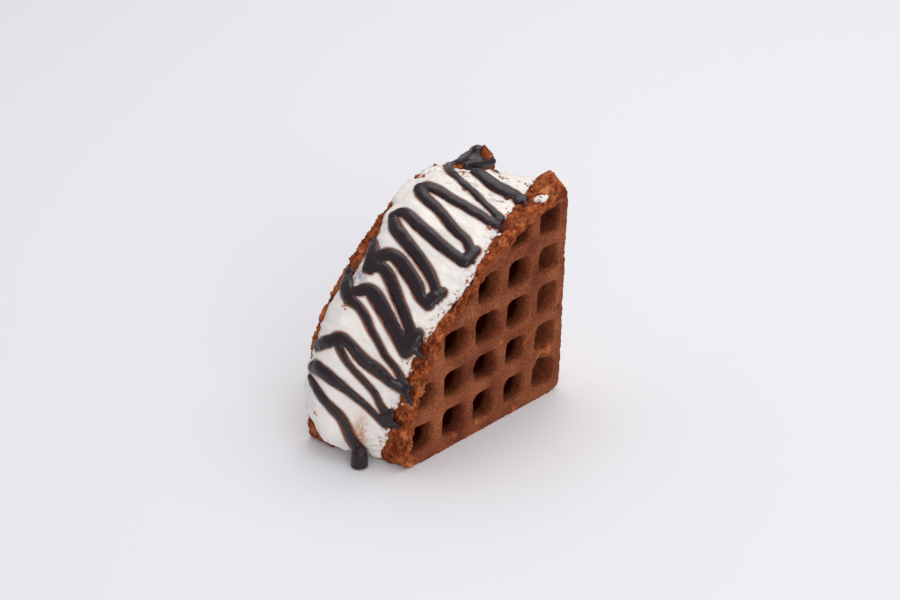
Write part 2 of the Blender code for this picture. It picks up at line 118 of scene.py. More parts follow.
# Runs of syrup, read off the photograph: degrees up the arc, millimetres across, width in millimetres
RUNS = {
    "top_loop": ((87.4, 38.0, 3.6), (86.4, 36.0, 3.6), (85.2, 34.4, 3.2), (84.2, 32.6, 3.0),
                 (83.6, 29.5, 3.0), (83.0, 26.5, 3.0), (82.2, 23.4, 2.6)),
    "top_thin": ((80.0, 41.0, 3.4), (76.4, 35.0, 3.6), (73.3, 27.4, 3.2), (71.9, 20.0, 2.9),
                 (70.8, 14.1, 2.6), (70.0, 10.0, 3.6)),
    "top_right": ((78.0, 25.0, 5.0), (77.3, 20.9, 5.6), (77.3, 17.0, 5.8), (77.9, 13.3, 5.4),
                  (79.0, 9.5, 3.4)),
    "loop_a_up": ((67.6, 10.5, 4.0), (67.8, 16.9, 4.1), (67.4, 23.8, 4.1), (67.4, 28.3, 4.4),
                  (66.9, 31.4, 4.4), (65.9, 33.6, 4.4)),
    "loop_a_down": ((65.9, 33.6, 4.4), (64.3, 29.8, 4.4), (63.0, 23.9, 4.3), (61.2, 17.8, 4.1),
                    (60.2, 12.6, 3.7), (58.6, 8.8, 3.6)),
    "loop_b_up": ((54.9, 8.0, 4.6), (55.5, 14.0, 4.7), (56.5, 20.1, 4.7), (57.3, 25.1, 4.7),
                  (58.4, 29.9, 4.6), (58.3, 32.4, 4.6), (56.9, 34.6, 4.6)),
    "loop_b_down": ((56.9, 34.6, 4.6), (54.7, 31.0, 4.8), (53.1, 27.0, 4.9), (51.7, 22.8, 4.6),
                    (49.8, 17.8, 4.3), (47.3, 12.4, 3.9), (45.4, 9.0, 4.2)),
    "left_blob": ((51.0, 39.2, 2.4), (49.4, 36.4, 4.2), (47.6, 33.4, 5.8), (45.6, 31.6, 6.2),
                  (43.6, 30.6, 5.0)),
    "third": ((46.0, 31.0, 4.4), (47.0, 29.4, 4.6), (48.3, 27.2, 4.8), (48.2, 24.4, 5.2),
              (47.0, 21.4, 5.3), (44.9, 16.7, 4.9), (42.7, 13.0, 4.3), (41.8, 8.6, 4.6)),
    "fourth": ((43.4, 31.4, 4.2), (44.4, 29.0, 4.0), (44.8, 26.8, 4.2), (43.9, 24.4, 4.4),
               (42.2, 21.8, 4.4), (40.2, 19.0, 4.2), (37.5, 14.7, 4.0), (35.0, 10.9, 4.4),
               (33.2, 8.0, 4.8)),
    "fifth": ((37.4, 32.0, 2.8), (38.0, 29.8, 4.0), (39.1, 27.4, 5.0), (38.6, 24.6, 5.6),
              (35.8, 19.6, 5.4), (32.6, 14.2, 5.2), (29.8, 9.0, 5.6)),
    "long_thin": ((41.6, 41.2, 3.8), (39.8, 40.2, 5.2), (38.2, 36.6, 6.4), (36.8, 33.2, 6.4),
                  (35.6, 30.6, 4.4), (35.0, 27.2, 3.4), (33.6, 24.1, 3.2), (31.2, 21.0, 2.8),
                  (29.4, 18.2, 2.5), (27.2, 15.0, 2.5), (25.0, 9.6, 2.8), (22.0, 6.0, 3.6)),
    "sixth": ((23.6, 38.8, 4.0), (24.6, 36.0, 4.9), (26.2, 31.0, 4.7), (27.6, 27.9, 4.5),
              (26.5, 24.1, 4.4), (24.5, 19.8, 4.8), (23.3, 15.0, 4.8), (21.9, 10.2, 4.0),
              (20.6, 5.0, 4.0)),
    "seventh": ((26.4, 28.6, 3.0), (23.0, 23.8, 2.5), (20.4, 18.8, 2.5), (18.0, 14.3, 2.6),
                (15.0, 10.8, 3.2), (12.6, 8.0, 4.0)),
    "eighth": ((18.9, 38.8, 4.4), (19.5, 36.1, 5.6), (19.4, 30.8, 5.4), (18.1, 25.6, 4.2),
               (16.7, 21.5, 3.4), (14.8, 16.6, 2.8), (12.6, 11.8, 2.7), (11.2, 9.4, 3.4)),
    "ninth": ((16.5, 39.6, 2.8), (16.0, 37.4, 3.4), (15.2, 33.1, 3.6), (12.9, 27.5, 3.8),
              (10.7, 23.2, 4.0), (7.7, 20.5, 4.4), (4.8, 18.9, 5.2), (3.0, 17.8, 5.8)),
}
# Pools over the front rim and the broken back tip: degrees, millimetres across, radius in millimetres
POOLS = ((69.6, 9.0, 2.5), (68.0, 8.4, 2.3), (79.0, 9.6, 2.3), (77.6, 10.4, 2.3), (59.0, 7.0, 2.2),
         (57.8, 7.4, 2.7), (56.5, 7.6, 3.1), (55.2, 7.6, 3.0), (43.6, 8.6, 3.2), (44.8, 7.6, 2.7),
         (45.7, 6.8, 2.1), (42.2, 9.2, 2.9), (33.2, 8.8, 3.9), (31.2, 9.2, 3.5), (34.2, 7.6, 2.9),
         (32.6, 6.8, 2.8), (22.4, 6.4, 2.4), (20.8, 5.0, 2.2),
         (14.0, 8.4, 2.6), (12.2, 8.6, 2.9), (13.4, 9.8, 2.5), (81.6, 41.4, 2.0), (83.2, 40.6, 2.6),
         (84.4, 39.0, 3.0), (85.6, 40.2, 3.0), (86.6, 38.6, 3.0), (85.6, 37.0, 2.9), (87.2, 36.8, 2.7),
         (84.2, 35.4, 3.0), (83.0, 37.0, 2.9), (82.0, 38.8, 2.5), (83.4, 34.2, 2.6), (81.0, 40.0, 2.0),
         (85.4, 34.4, 2.8), (86.6, 34.8, 2.5), (82.2, 35.4, 2.2))
# Syrup on the inner side of the back quarter near the top: degrees, millimetres across, millimetres
# below the rim and radius in millimetres
WALL_BLOBS = ((80.5, 32.0, 0.2, 1.9), (82.0, 31.8, 0.8, 2.2), (83.4, 31.6, 1.6, 2.3), (84.8, 31.5, 2.4, 2.3),
              (86.2, 31.4, 3.2, 2.1), (87.6, 31.2, 4.2, 2.0), (89.0, 31.0, 5.2, 1.7))
# Short spikes from a pool towards the front face: degrees and millimetres across at the start and at
# the end, then the radius in millimetres
SPIKES = ((69.2, 9.0, 67.6, 5.0, 1.6), (79.0, 9.0, 76.8, 5.2, 1.3), (31.0, 7.0, 30.0, 2.6, 1.8),
          (20.4, 4.6, 18.4, 0.4, 1.9), (12.2, 7.6, 11.4, 3.6, 1.8), (56.6, 7.4, 56.0, 4.8, 1.6),
          (21.6, 4.6, 22.6, 1.6, 1.2))
DRIP_PLACE = (-0.0965, 0.0154)
DRIP_RADIUS = 0.0032
DRIP_HEIGHT = 0.0068
DRIP_NECK = 0.0026
DRIP_BOW = Vector((-0.0008, 0.0, 0.0))
POOL_FLATNESS = 0.50
WALL_FLATNESS = 0.6
WALL_STEPS = 5
SPIKE_TIP = 0.45                 # a spike's end as a share of its start
SYRUP_SMOOTHING = 9
SMOOTHED_TIP = (80.5, 0.0305)    # the syrup is drawn smooth past these degrees and this place across
SMOOTHING_ROUNDS = 11

# The photograph's viewpoint, fitted to marks read off it for a lens length that was chosen, not measured
CAMERA_PLACE = (-0.53097, -0.52146, 0.43390)
CAMERA_AZIMUTH = -0.805541
CAMERA_ELEVATION = 0.475600
CAMERA_ROLL = -0.010162
CAMERA_LENS = 88.0


def bump(value, centre, width):
    """Bell curve of height 1."""
    return math.exp(-((value - centre) / width) ** 2)


def ease(start, end, value):
    """Smooth step from 0 to 1."""
    t = min(max((value - start) / (end - start), 0.0), 1.0)
    return t * t * (3.0 - 2.0 * t)


def mix(a, b, t):
    """The value a share t of the way from a to b."""
    return a + (b - a) * t


def front_radius(degrees):
    """Radius of the front quarter's arc, pressed in half way up."""
    return WAFFLE_RADIUS - FRONT_FLAT_SPOT * bump(degrees, *FLAT_SPOT_AT)


def back_radius(degrees):
    """Radius from the corner of an arc whose centre lies BACK_ARC_SHIFT along the floor."""
    angle = math.radians(degrees)
    radius = BACK_RADIUS + BACK_BULGE * bump(degrees, *BACK_BULGE_AT)
    radius += BACK_TIP * bump(degrees, *BACK_TIP_AT)
    across = BACK_ARC_SHIFT * math.sin(angle)
    return BACK_ARC_SHIFT * math.cos(angle) + math.sqrt(radius ** 2 - across ** 2)


def back_tip(degrees, across):
    """How the back quarter's top corner differs from its arc: it falls to both sides of a crumb spike."""
    fall = min(max((across - BREAK_START) / BREAK_WIDTH, 0.0), 1.0)
    broken = -BREAK_DEPTH * ease(75.0, 84.0, degrees) * fall - TIP_END_DEPTH * ease(87.8, 90.0, degrees)
    return broken + SPIKE_RISE * bump(degrees, *SPIKE_AT) * bump(across, *SPIKE_ACROSS)


# Each quarter: its node, the rule of its arc, the slant of its upright edge, where it starts across, its
# outer face, which way is inward, the height of its crumb peak and the seed of its crumb
Quarter = namedtuple("Quarter", "node radius_rule slant start face inward peak seed")
FRONT = Quarter("waffle_front", front_radius, FRONT_SLANT, 0.0, 0.0, 1, PEAK_RISE, 11.0)
BACK = Quarter("waffle_back", back_radius, 0.0, SPAN_OUT, DEPTH, -1, 0.0, 29.0)


def splay(across, height):
    """Place across the sandwich once the waffles lean apart."""
    t = min(max((across - SPAN_IN) / CREAM_THICKNESS, 0.0), 1.0)
    return across + height * mix(-math.tan(FRONT_LEAN), math.tan(BACK_LEAN), t)


def placed(point):
    """Layout point to the frame."""
    return Vector((point[0] - BOX_MIDDLE[0], splay(point[1], point[2]) - BOX_MIDDLE[1], point[2]))


def arc_point(degrees, radius, across):
    """Layout point at a place up the arc and across the sandwich."""
    angle = math.radians(degrees)
    return Vector((-radius * math.cos(angle), across, radius * math.sin(angle)))


def cream_front_edge(degrees):
    """How far across the cream starts: it laps over the front rim half way up the arc."""
    share = min(max(degrees / FRONT_LAP_END, 0.0), 1.0)
    lap = FRONT_LAP * max(math.sin(math.pi * share), 0.0) ** 0.8
    bulge = FRONT_LAP_BULGE * bump(degrees, *FRONT_LAP_BULGE_AT)
    return SPAN_IN - lap - bulge + FRONT_LAP_HOLLOW * bump(degrees, *FRONT_LAP_HOLLOW_AT)


def cream_back_edge(degrees):
    """How far across the cream ends: its lap is smaller at the toe and gone at the tip."""
    lap = BACK_LAP * (0.62 + 0.38 * ease(4.0, 9.0, degrees) - ease(76.0, 86.0, degrees))
    bare = BACK_LAP_BARE * ease(34.0, 42.0, degrees) * (1.0 - ease(52.0, 58.0, degrees))
    full = BACK_LAP_FULL * ease(59.5, 62.5, degrees) * (1.0 - ease(77.0, 83.0, degrees))
    full -= BACK_LAP_GAP * bump(degrees, *BACK_LAP_GAP_AT)
    return SPAN_OUT + lap - bare + full + BACK_LAP_BULGE * bump(degrees, *BACK_LAP_BULGE_AT)


def ragged(degrees, seed):
    """Uneven edge of the cream, in metres."""
    wide = noise.noise(Vector((degrees * 0.22, seed, 0.0)))
    fine = noise.noise(Vector((degrees * 0.9, seed, 5.0)))
    sharp = noise.noise(Vector((degrees * 2.6, seed, 9.0)))
    return 0.0012 * wide + 0.0008 * fine + 0.0006 * sharp


def cream_radius(degrees, across):
    """Outer surface of the cream, crowned between its two edges and sunk at the top end."""
    rim = mix(front_radius(degrees), back_radius(degrees), ease(SPAN_IN, SPAN_OUT, across))
    start = cream_front_edge(degrees) + ragged(degrees, 3.0)
    end = cream_back_edge(degrees) + ragged(degrees, 8.0)
    s = (across - start) / (end - start)
    if 0.0 < s < 1.0:
        height = CREAM_CROWN - 0.0022 * ease(0.0, 45.0, degrees) - 0.0015 * ease(55.0, 85.0, degrees)
        height *= 0.5 + 0.5 * ease(1.0, 8.0, degrees)
        fullness = (1.0 - abs(2.0 * s - 1.0) ** 2.6) ** 0.8
        lump = 0.0008 * noise.noise(Vector((degrees * 0.11, across * 90.0, 3.0)))
        crown = NEIGHBOUR_GAP + fullness * (height + lump)
    else:
        beyond = (end - start) * max(-s, s - 1.0)
        crown = NEIGHBOUR_GAP - min(beyond * 1.5, 0.0030)
    sunk = ease(78.0, 90.0, degrees) * (0.0002 + TOP_SINK * ease(0.010, 0.024, across))
    sunk += ease(70.0, 86.0, degrees) * BACK_SINK * ease(0.023, 0.031, across)
    return rim + crown - sunk


def linear(hex_colour):
    """An sRGB hex colour as linear red, green, blue and alpha."""
    channels = []
    for start in (1, 3, 5):
        value = int(hex_colour[start:start + 2], 16) / 255.0
        channels.append(value / 12.92 if value <= 0.04045 else ((value + 0.055) / 1.055) ** 2.4)
    return (*channels, 1.0)


def add_node(tree, kind, settings=None, links=None):
    """A node with its settings; links holds each input's value or the socket that feeds it."""
    node = tree.nodes.new(kind)
    for key, value in (settings or {}).items():
        setattr(node, key, value)
    for key, value in (links or {}).items():
        if isinstance(value, bpy.types.NodeSocket):
            tree.links.new(value, node.inputs[key])
        else:
            node.inputs[key].default_value = value
    return node


def colour_ramp(tree, factor, stops):
    """A ramp between sRGB hex colours at places from 0 to 1."""
    ramp = add_node(tree, "ShaderNodeValToRGB", links={"Fac": factor})
    elements = ramp.color_ramp.elements
    while len(elements) < len(stops):
        elements.new(0.5)
    for element, (place, colour) in zip(elements, stops):
        element.position = place
        element.color = linear(colour)
    return ramp.outputs["Color"]


def new_tree(name, inputs):
    """A Geometry Nodes tree with named inputs, each (name, socket type, default)."""
    tree = bpy.data.node_groups.new(name, "GeometryNodeTree")
    tree.interface.new_socket("Geometry", in_out="INPUT", socket_type="NodeSocketGeometry")
    tree.interface.new_socket("Geometry", in_out="OUTPUT", socket_type="NodeSocketGeometry")
    for label, kind, default in inputs:
        socket = tree.interface.new_socket(label, in_out="INPUT", socket_type=kind)
        if default is not None:
            socket.default_value = default
    return tree


def run_tree(obj, tree, values):
    """Adds the tree to the object, sets its inputs by identifier and makes the result its mesh."""
    modifier = obj.modifiers.new(tree.name, "NODES")
    modifier.node_group = tree
    for item in tree.interface.items_tree:
        if item.item_type == "SOCKET" and item.in_out == "INPUT" and item.name in values:
            modifier[item.identifier] = values[item.name]
    return bake(obj)


def bake(obj):
    """The object's evaluated mesh becomes its own plain mesh, and its modifiers go."""
    bpy.context.view_layer.update()
    graph = bpy.context.evaluated_depsgraph_get()
    mesh = bpy.data.meshes.new_from_object(obj.evaluated_get(graph))
    mesh.name = obj.name
    old = obj.data
    obj.modifiers.clear()
    obj.data = mesh
    bpy.data.meshes.remove(old)
    return obj


def mesh_object(name, vertices, faces, edges=()):
    """A new object of these vertices, faces and edges, linked to the scene."""
    mesh = bpy.data.meshes.new(name)
    mesh.from_pydata([tuple(vertex) for vertex in vertices], list(edges), list(faces))
    mesh.update()
    obj = bpy.data.objects.new(name, mesh)
    bpy.context.scene.collection.objects.link(obj)
    return obj


def remove(obj):
    """Deletes a helper object and its mesh."""
    mesh = obj.data
    bpy.data.objects.remove(obj, do_unlink=True)
    bpy.data.meshes.remove(mesh)


def outward(obj):
    """Joins doubled points and turns all faces outwards."""
    bm = bmesh.new()
    bm.from_mesh(obj.data)
    bmesh.ops.remove_doubles(bm, verts=bm.verts, dist=0.000001)
    bmesh.ops.recalc_face_normals(bm, faces=bm.faces)
    bm.to_mesh(obj.data)
    bm.free()


def add_boolean(obj, operation, other):
    """Joins, cuts or keeps what two closed bodies share, once the object is baked."""
    modifier = obj.modifiers.new(operation.title(), "BOOLEAN")
    modifier.operation = operation
    modifier.solver = "MANIFOLD"
    modifier.object = other


def remesh(obj, voxel, smoothing):
    """One even closed skin round everything in the object, then smoothed."""
    modifier = obj.modifiers.new("Skin", "REMESH")
    modifier.mode = "VOXEL"
    modifier.voxel_size = voxel
    modifier.use_smooth_shade = True
    smooth = obj.modifiers.new("Smooth", "SMOOTH")
    smooth.factor = 0.5
    smooth.iterations = smoothing
    return bake(obj)


def store(obj, name, values):
    """A float attribute on the object's points."""
    attribute = obj.data.attributes.new(name, "FLOAT", "POINT")
    attribute.data.foreach_set("value", values)


def finish_piece(obj, material, node_name):
    """Gives the piece its material, hangs it on the root body and hides the part it stands in for."""
    obj.data.materials.clear()
    obj.data.materials.append(material)
    for polygon in obj.data.polygons:
        polygon.material_index = 0
        polygon.use_smooth = True
    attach(obj, "root")
    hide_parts(node_name)


# Waffle

def rounded_corner(corner, before, after, radius, steps):
    """Points of a round at a corner, between the directions to its two neighbours."""
    corner = Vector(corner)
    start = corner + (Vector(before) - corner).normalized() * radius
    end = corner + (Vector(after) - corner).normalized() * radius
    points = []
    for step in range(steps + 1):
        t = step / steps
        points.append(start.lerp(corner, t).lerp(corner.lerp(end, t), t))
    return points


def quarter_outline(radius_rule, slant, grow, arc_steps):
    """Outline in the X-Z plane: corner, floor edge, arc from the toe to the top, upright edge."""
    corner = Vector((grow, -grow))
    toe = Vector((-radius_rule(0.0) - grow, -grow))
    top = Vector((grow - slant, radius_rule(90.0) + grow))
    first = math.degrees(TOE_ROUND / WAFFLE_RADIUS)
    last = 90.0 - math.degrees((TIP_ROUND + slant) / WAFFLE_RADIUS)
    arc = []
    for step in range(arc_steps + 1):
        degrees = mix(first, last, step / arc_steps)
        point = arc_point(degrees, radius_rule(degrees) + grow, 0.0)
        arc.append(Vector((point.x, point.z)))
    points = rounded_corner(corner, top, toe, CORNER_ROUND, 8)
    points += rounded_corner(toe, corner, arc[0], TOE_ROUND, 5)[:-1]
    points += arc
    points += rounded_corner(top, arc[-1], corner, TIP_ROUND, 5)[1:]
    return points


def slab(name, points, start, end):
    """A closed slab of an X-Z outline between two places across."""
    count = len(points)
    vertices = [(x, start, z) for x, z in points] + [(x, end, z) for x, z in points]
    faces = [tuple(range(count)), tuple(range(2 * count - 1, count - 1, -1))]
    for i in range(count):
        j = (i + 1) % count
        faces.append((i, i + count, j + count, j))
    obj = mesh_object(name, vertices, faces)
    outward(obj)
    return obj


def well_cutter(settings):
    """One tapered pocket with rounded corners, centred on its mouth and opening towards -Y."""
    overshoot = 0.001
    slope = (settings.well_edge - settings.well_floor) / settings.well_depth
    bm = bmesh.new()
    mouth = (settings.well_edge + slope * overshoot) / math.sqrt(2.0)
    floor = settings.well_floor / math.sqrt(2.0)
    bmesh.ops.create_cone(bm, cap_ends=True, segments=4, radius1=mouth, radius2=floor,
                          depth=settings.well_depth + overshoot)
    bmesh.ops.rotate(bm, verts=bm.verts, matrix=Matrix.Rotation(math.pi / 4.0, 3, "Z"))
    flanks = [edge for edge in bm.edges if abs(edge.verts[0].co.z - edge.verts[1].co.z) > 0.001]
    bmesh.ops.bevel(bm, geom=flanks, offset=settings.well_corner, segments=4, profile=0.5, affect="EDGES")
    bmesh.ops.translate(bm, verts=bm.verts, vec=(0.0, 0.0, (settings.well_depth - overshoot) / 2.0))
    bmesh.ops.rotate(bm, verts=bm.verts, matrix=Matrix.Rotation(-math.pi / 2.0, 3, "X"))
    bmesh.ops.recalc_face_normals(bm, faces=bm.faces)
    obj = mesh_object("well_cutter", [], [])
    bm.to_mesh(obj.data)
    bm.free()
    return obj


def wells_tree(material):
    """Presses one pocket at each well centre, each a little turned and stretched."""
    tree = new_tree("Wells", (("Pocket", "NodeSocketObject", None), ("Turn", "NodeSocketFloat", 0.03),
                              ("Stretch", "NodeSocketFloat", 0.06), ("Seed", "NodeSocketInt", 4)))
    source = add_node(tree, "NodeGroupInput")
    pocket = add_node(tree, "GeometryNodeObjectInfo", links={"Object": source.outputs["Pocket"]})
    back_turn = add_node(tree, "ShaderNodeMath", {"operation": "MULTIPLY"},
                         {0: source.outputs["Turn"], 1: -1.0})
    turn = add_node(tree, "FunctionNodeRandomValue", {"data_type": "FLOAT"},
                    {2: back_turn.outputs[0], 3: source.outputs["Turn"], "Seed": source.outputs["Seed"]})
    turned = add_node(tree, "ShaderNodeCombineXYZ", links={"Y": turn.outputs[1]})
    low = add_node(tree, "ShaderNodeMath", {"operation": "SUBTRACT"}, {0: 1.0, 1: source.outputs["Stretch"]})
    high = add_node(tree, "ShaderNodeMath", {"operation": "ADD"}, {0: 1.0, 1: source.outputs["Stretch"]})
    scales = []
    for offset in (1, 2):
        seed = add_node(tree, "ShaderNodeMath", {"operation": "ADD"},
                        {0: source.outputs["Seed"], 1: float(offset)})
        scales.append(add_node(tree, "FunctionNodeRandomValue", {"data_type": "FLOAT"},
                               {2: low.outputs[0], 3: high.outputs[0], "Seed": seed.outputs[0]}))
    stretched = add_node(tree, "ShaderNodeCombineXYZ",
                         links={"X": scales[0].outputs[1], "Y": 1.0, "Z": scales[1].outputs[1]})
    placed_pockets = add_node(tree, "GeometryNodeInstanceOnPoints",
                              links={"Points": source.outputs["Geometry"],
                                     "Instance": pocket.outputs["Geometry"],
                                     "Rotation": turned.outputs[0], "Scale": stretched.outputs[0]})
    whole = add_node(tree, "GeometryNodeRealizeInstances", links={"Geometry": placed_pockets.outputs[0]})
    painted = add_node(tree, "GeometryNodeSetMaterial",
                       links={"Geometry": whole.outputs[0], "Material": material})
    add_node(tree, "NodeGroupOutput", links={"Geometry": painted.outputs[0]})
    return tree


def pressed_quarter(quarter, settings, material):
    """The plain quarter with its wells pressed into the outward face, at layout places."""
    outline = quarter_outline(quarter.radius_rule, quarter.slant, 0.0, 90)
    body = slab(quarter.node + "_visual", outline, quarter.start, quarter.start + WAFFLE_THICKNESS)
    centres = []
    places = [(column, row) for row, count in enumerate(WELL_ROWS, start=1) for column in range(1, count + 1)]
    for column, row in places + list(WELLS_CUT_BY_RIM):
        x = -WELL_FIRST_X - settings.well_pitch * (column - 1)
        centres.append((x, 0.0, WELL_FIRST_Z + settings.well_pitch * (row - 1)))
    pocket = well_cutter(settings)
    wells = mesh_object("wells", centres, [])
    run_tree(wells, wells_tree(material), {"Pocket": pocket, "Seed": int(quarter.seed)})
    for vertex in wells.data.vertices:
        vertex.co.y = quarter.face + quarter.inward * vertex.co.y
    outward(wells)
    wall = quarter_outline(quarter.radius_rule, quarter.slant, -settings.rim_wall, 60)
    disc = slab("rim_wall", wall, quarter.start - 0.002, quarter.start + WAFFLE_THICKNESS + 0.002)
    add_boolean(wells, "INTERSECT", disc)
    bake(wells)
    add_boolean(body, "DIFFERENCE", wells)
    bake(body)
    for helper in (pocket, wells, disc):
        remove(helper)
    return body


# Torn or chipped places on the front face: x, z, radius and depth in millimetres
TORN = ((-11.5, 19.4, 3.9, 1.3), (-7.8, 20.0, 3.0, 1.2), (-19.9, 34.6, 2.2, 1.2), (-20.6, 27.9, 2.3, 0.9),
        (-48.5, 28.0, 3.0, 0.9), (-87.0, 2.0, 2.6, 1.4), (-61.0, 4.2, 1.6, 0.7), (-28.1, 53.2, 1.7, 1.3),
        (-43.0, 46.0, 1.4, 0.6), (-9.0, 87.0, 2.6, 0.9), (-27.0, 1.9, 1.3, 0.5), (-47.3, 5.1, 1.9, 1.0),
        (-3.0, 45.0, 1.8, 0.6), (-2.5, 60.0, 1.5, 0.6), (-36.0, 35.5, 1.3, 0.6))
# Open crumb: how wide it is on the rim, and how much more at the toe and the top
RIM_BAND = 0.0030
RIM_BAND_PATCHES = 0.0030
TOE_BAND = 0.0008
TOP_BAND = 0.0012
RIM_FADE = 0.0018
CUT_CRUMB = 0.6                  # share of the full crumb that the straight cut sides get
SWELL_DEPTH = 0.00018
TIP_REACH = 0.016                # the broken tip's shape fades out this far below the rim
TIP_SHIFT = 0.0014
PEAK_WIDTH = 0.0085
TOE_LIFT = 0.0005                # the front toe's lower corner is worn off
TOE_SHORTENING = 0.0010
SKIN_SMOOTHING = 3


def crumble(obj, quarter, settings):
    """Turns the smooth skin into baked crumb: fine grain, an open crumb on the rim and cut sides, and the
    masks of painted shade in the crumb's hollows and in the wells.
    """
    mesh = obj.data
    crumb_values = []
    torn_values = []
    crumb_hollow_shade_values = []
    well_shade_values = []
    normals = [vertex.normal.copy() for vertex in mesh.vertices]
    for vertex, normal in zip(mesh.vertices, normals):
        co = vertex.co
        degrees = math.degrees(math.atan2(co.z, -co.x))
        reach = math.hypot(co.x, co.z)
        depth = (co.y - quarter.face) * quarter.inward
        rim_gap = quarter.radius_rule(min(max(degrees, 0.0), 90.0)) - reach
        cut_gap = min(-co.x - quarter.slant * co.z / WAFFLE_RADIUS, co.z)
        seeded = Vector((co.x, co.y + quarter.seed, co.z))
        patch = noise.noise(seeded * 90.0) + 0.5 * noise.noise(seeded * 300.0)
        band = RIM_BAND + RIM_BAND_PATCHES * patch + TOE_BAND * (1.0 - ease(20.0, 50.0, degrees))
        band += TOP_BAND * ease(70.0, 85.0, degrees)
        rim = 1.0 - ease(band, band + RIM_FADE, rim_gap + 0.0008 * noise.noise(seeded * 700.0))
        cut = 1.0 - ease(0.0004, 0.0014 + 0.0012 * patch, cut_gap)
        torn = 0.0
        if quarter.inward > 0 and depth < 0.007:
            for x, z, radius, dent in TORN:
                away = math.hypot(co.x - x * MM, co.z - z * MM) / (radius * MM)
                if away < 1.6:
                    share = 1.0 - ease(0.45, 1.1, away + 0.5 * noise.noise(seeded * 420.0))
                    torn = max(torn, share)
                    co -= normal * share * dent * MM * 0.8
        crumb = min(max(rim, CUT_CRUMB * cut, torn), 1.0)
        open_depth = crumb if rim > 0.5 and cut < 0.2 else 0.45 * crumb
        grain = noise.noise(seeded * 1150.0) + 0.6 * noise.noise(seeded * 2400.0)
        swell = noise.noise(seeded * 260.0)
        push = settings.grain_depth * grain + SWELL_DEPTH * swell
        hollow = 0.5
        if crumb > 0.02:
            cell = noise.voronoi(seeded * 520.0)[0][0]
            chunk = noise.noise(seeded * 240.0) + 0.7 * noise.noise(seeded * 640.0)
            dig = settings.crumb_depth * (0.20 + 0.85 * max(-chunk, -0.45) + 0.70 * (cell - 0.40))
            push -= open_depth * dig
            # Painted shade and light mask: deeper-dug crumb gets a higher value, painted darker, and raised
            # tips a lower value, painted lighter
            hollow = min(max(0.5 + 0.5 * crumb * (dig / settings.crumb_depth - 0.30) / 0.45, 0.0), 1.0)
        if depth > WAFFLE_THICKNESS - 0.0012 and rim_gap > 0.002 and cut_gap > 0.002:
            push = min(push, 0.0)
        co += normal * push
        if quarter.inward < 0 and degrees > 74.0:
            near_rim = 1.0 - ease(0.0, TIP_REACH, rim_gap)
            co += arc_point(degrees, back_tip(degrees, co.y) * near_rim, 0.0)
            co.y -= TIP_SHIFT * ease(80.0, 88.0, degrees) * near_rim
        rise = quarter.peak * bump(co.x, *PEAK_AT) * ease(0.078, 0.088, co.z)
        co.z += rise * min(max(co.y / PEAK_WIDTH, 0.0), 1.0) * (1.0 - 0.4 * ease(0.0090, 0.0130, co.y))
        if quarter.inward > 0 and co.x < -0.074:
            worn = ease(0.076, 0.086, -co.x) * (1.0 - ease(0.0, 0.0075, depth))
            worn *= 1.0 - ease(0.0, 0.007, co.z)
            co.z += TOE_LIFT * worn
            co.x += TOE_SHORTENING * worn
        co.z = max(co.z, 0.0)
        co.x = min(co.x, 0.0)
        # Painted shade mask for the wells: stronger towards their floors, a third weaker in the column
        # nearest the upright edge, and none near the rim, the cut sides or past the well floors
        well_shade = 0.55 * ease(0.0008, 0.0030, depth) + 0.45 * ease(0.0030, 0.0062, depth)
        well_shade *= 1.0 - ease(0.0078, 0.0088, depth)
        well_shade *= 1.0 - 0.35 * ease(-0.022, -0.014, co.x)
        well_shade *= ease(0.0028, 0.0040, rim_gap) * ease(0.0022, 0.0032, cut_gap)
        crumb_values.append(crumb)
        torn_values.append(torn)
        crumb_hollow_shade_values.append(hollow)
        well_shade_values.append(well_shade)
    for vertex in mesh.vertices:
        vertex.co = placed(vertex.co)
    mesh.update()
    store(obj, "crumb", crumb_values)
    store(obj, "torn", torn_values)
    store(obj, "hollow", crumb_hollow_shade_values)
    # The well attribute carries the painted shade mask for the wells
    store(obj, "well", well_shade_values)


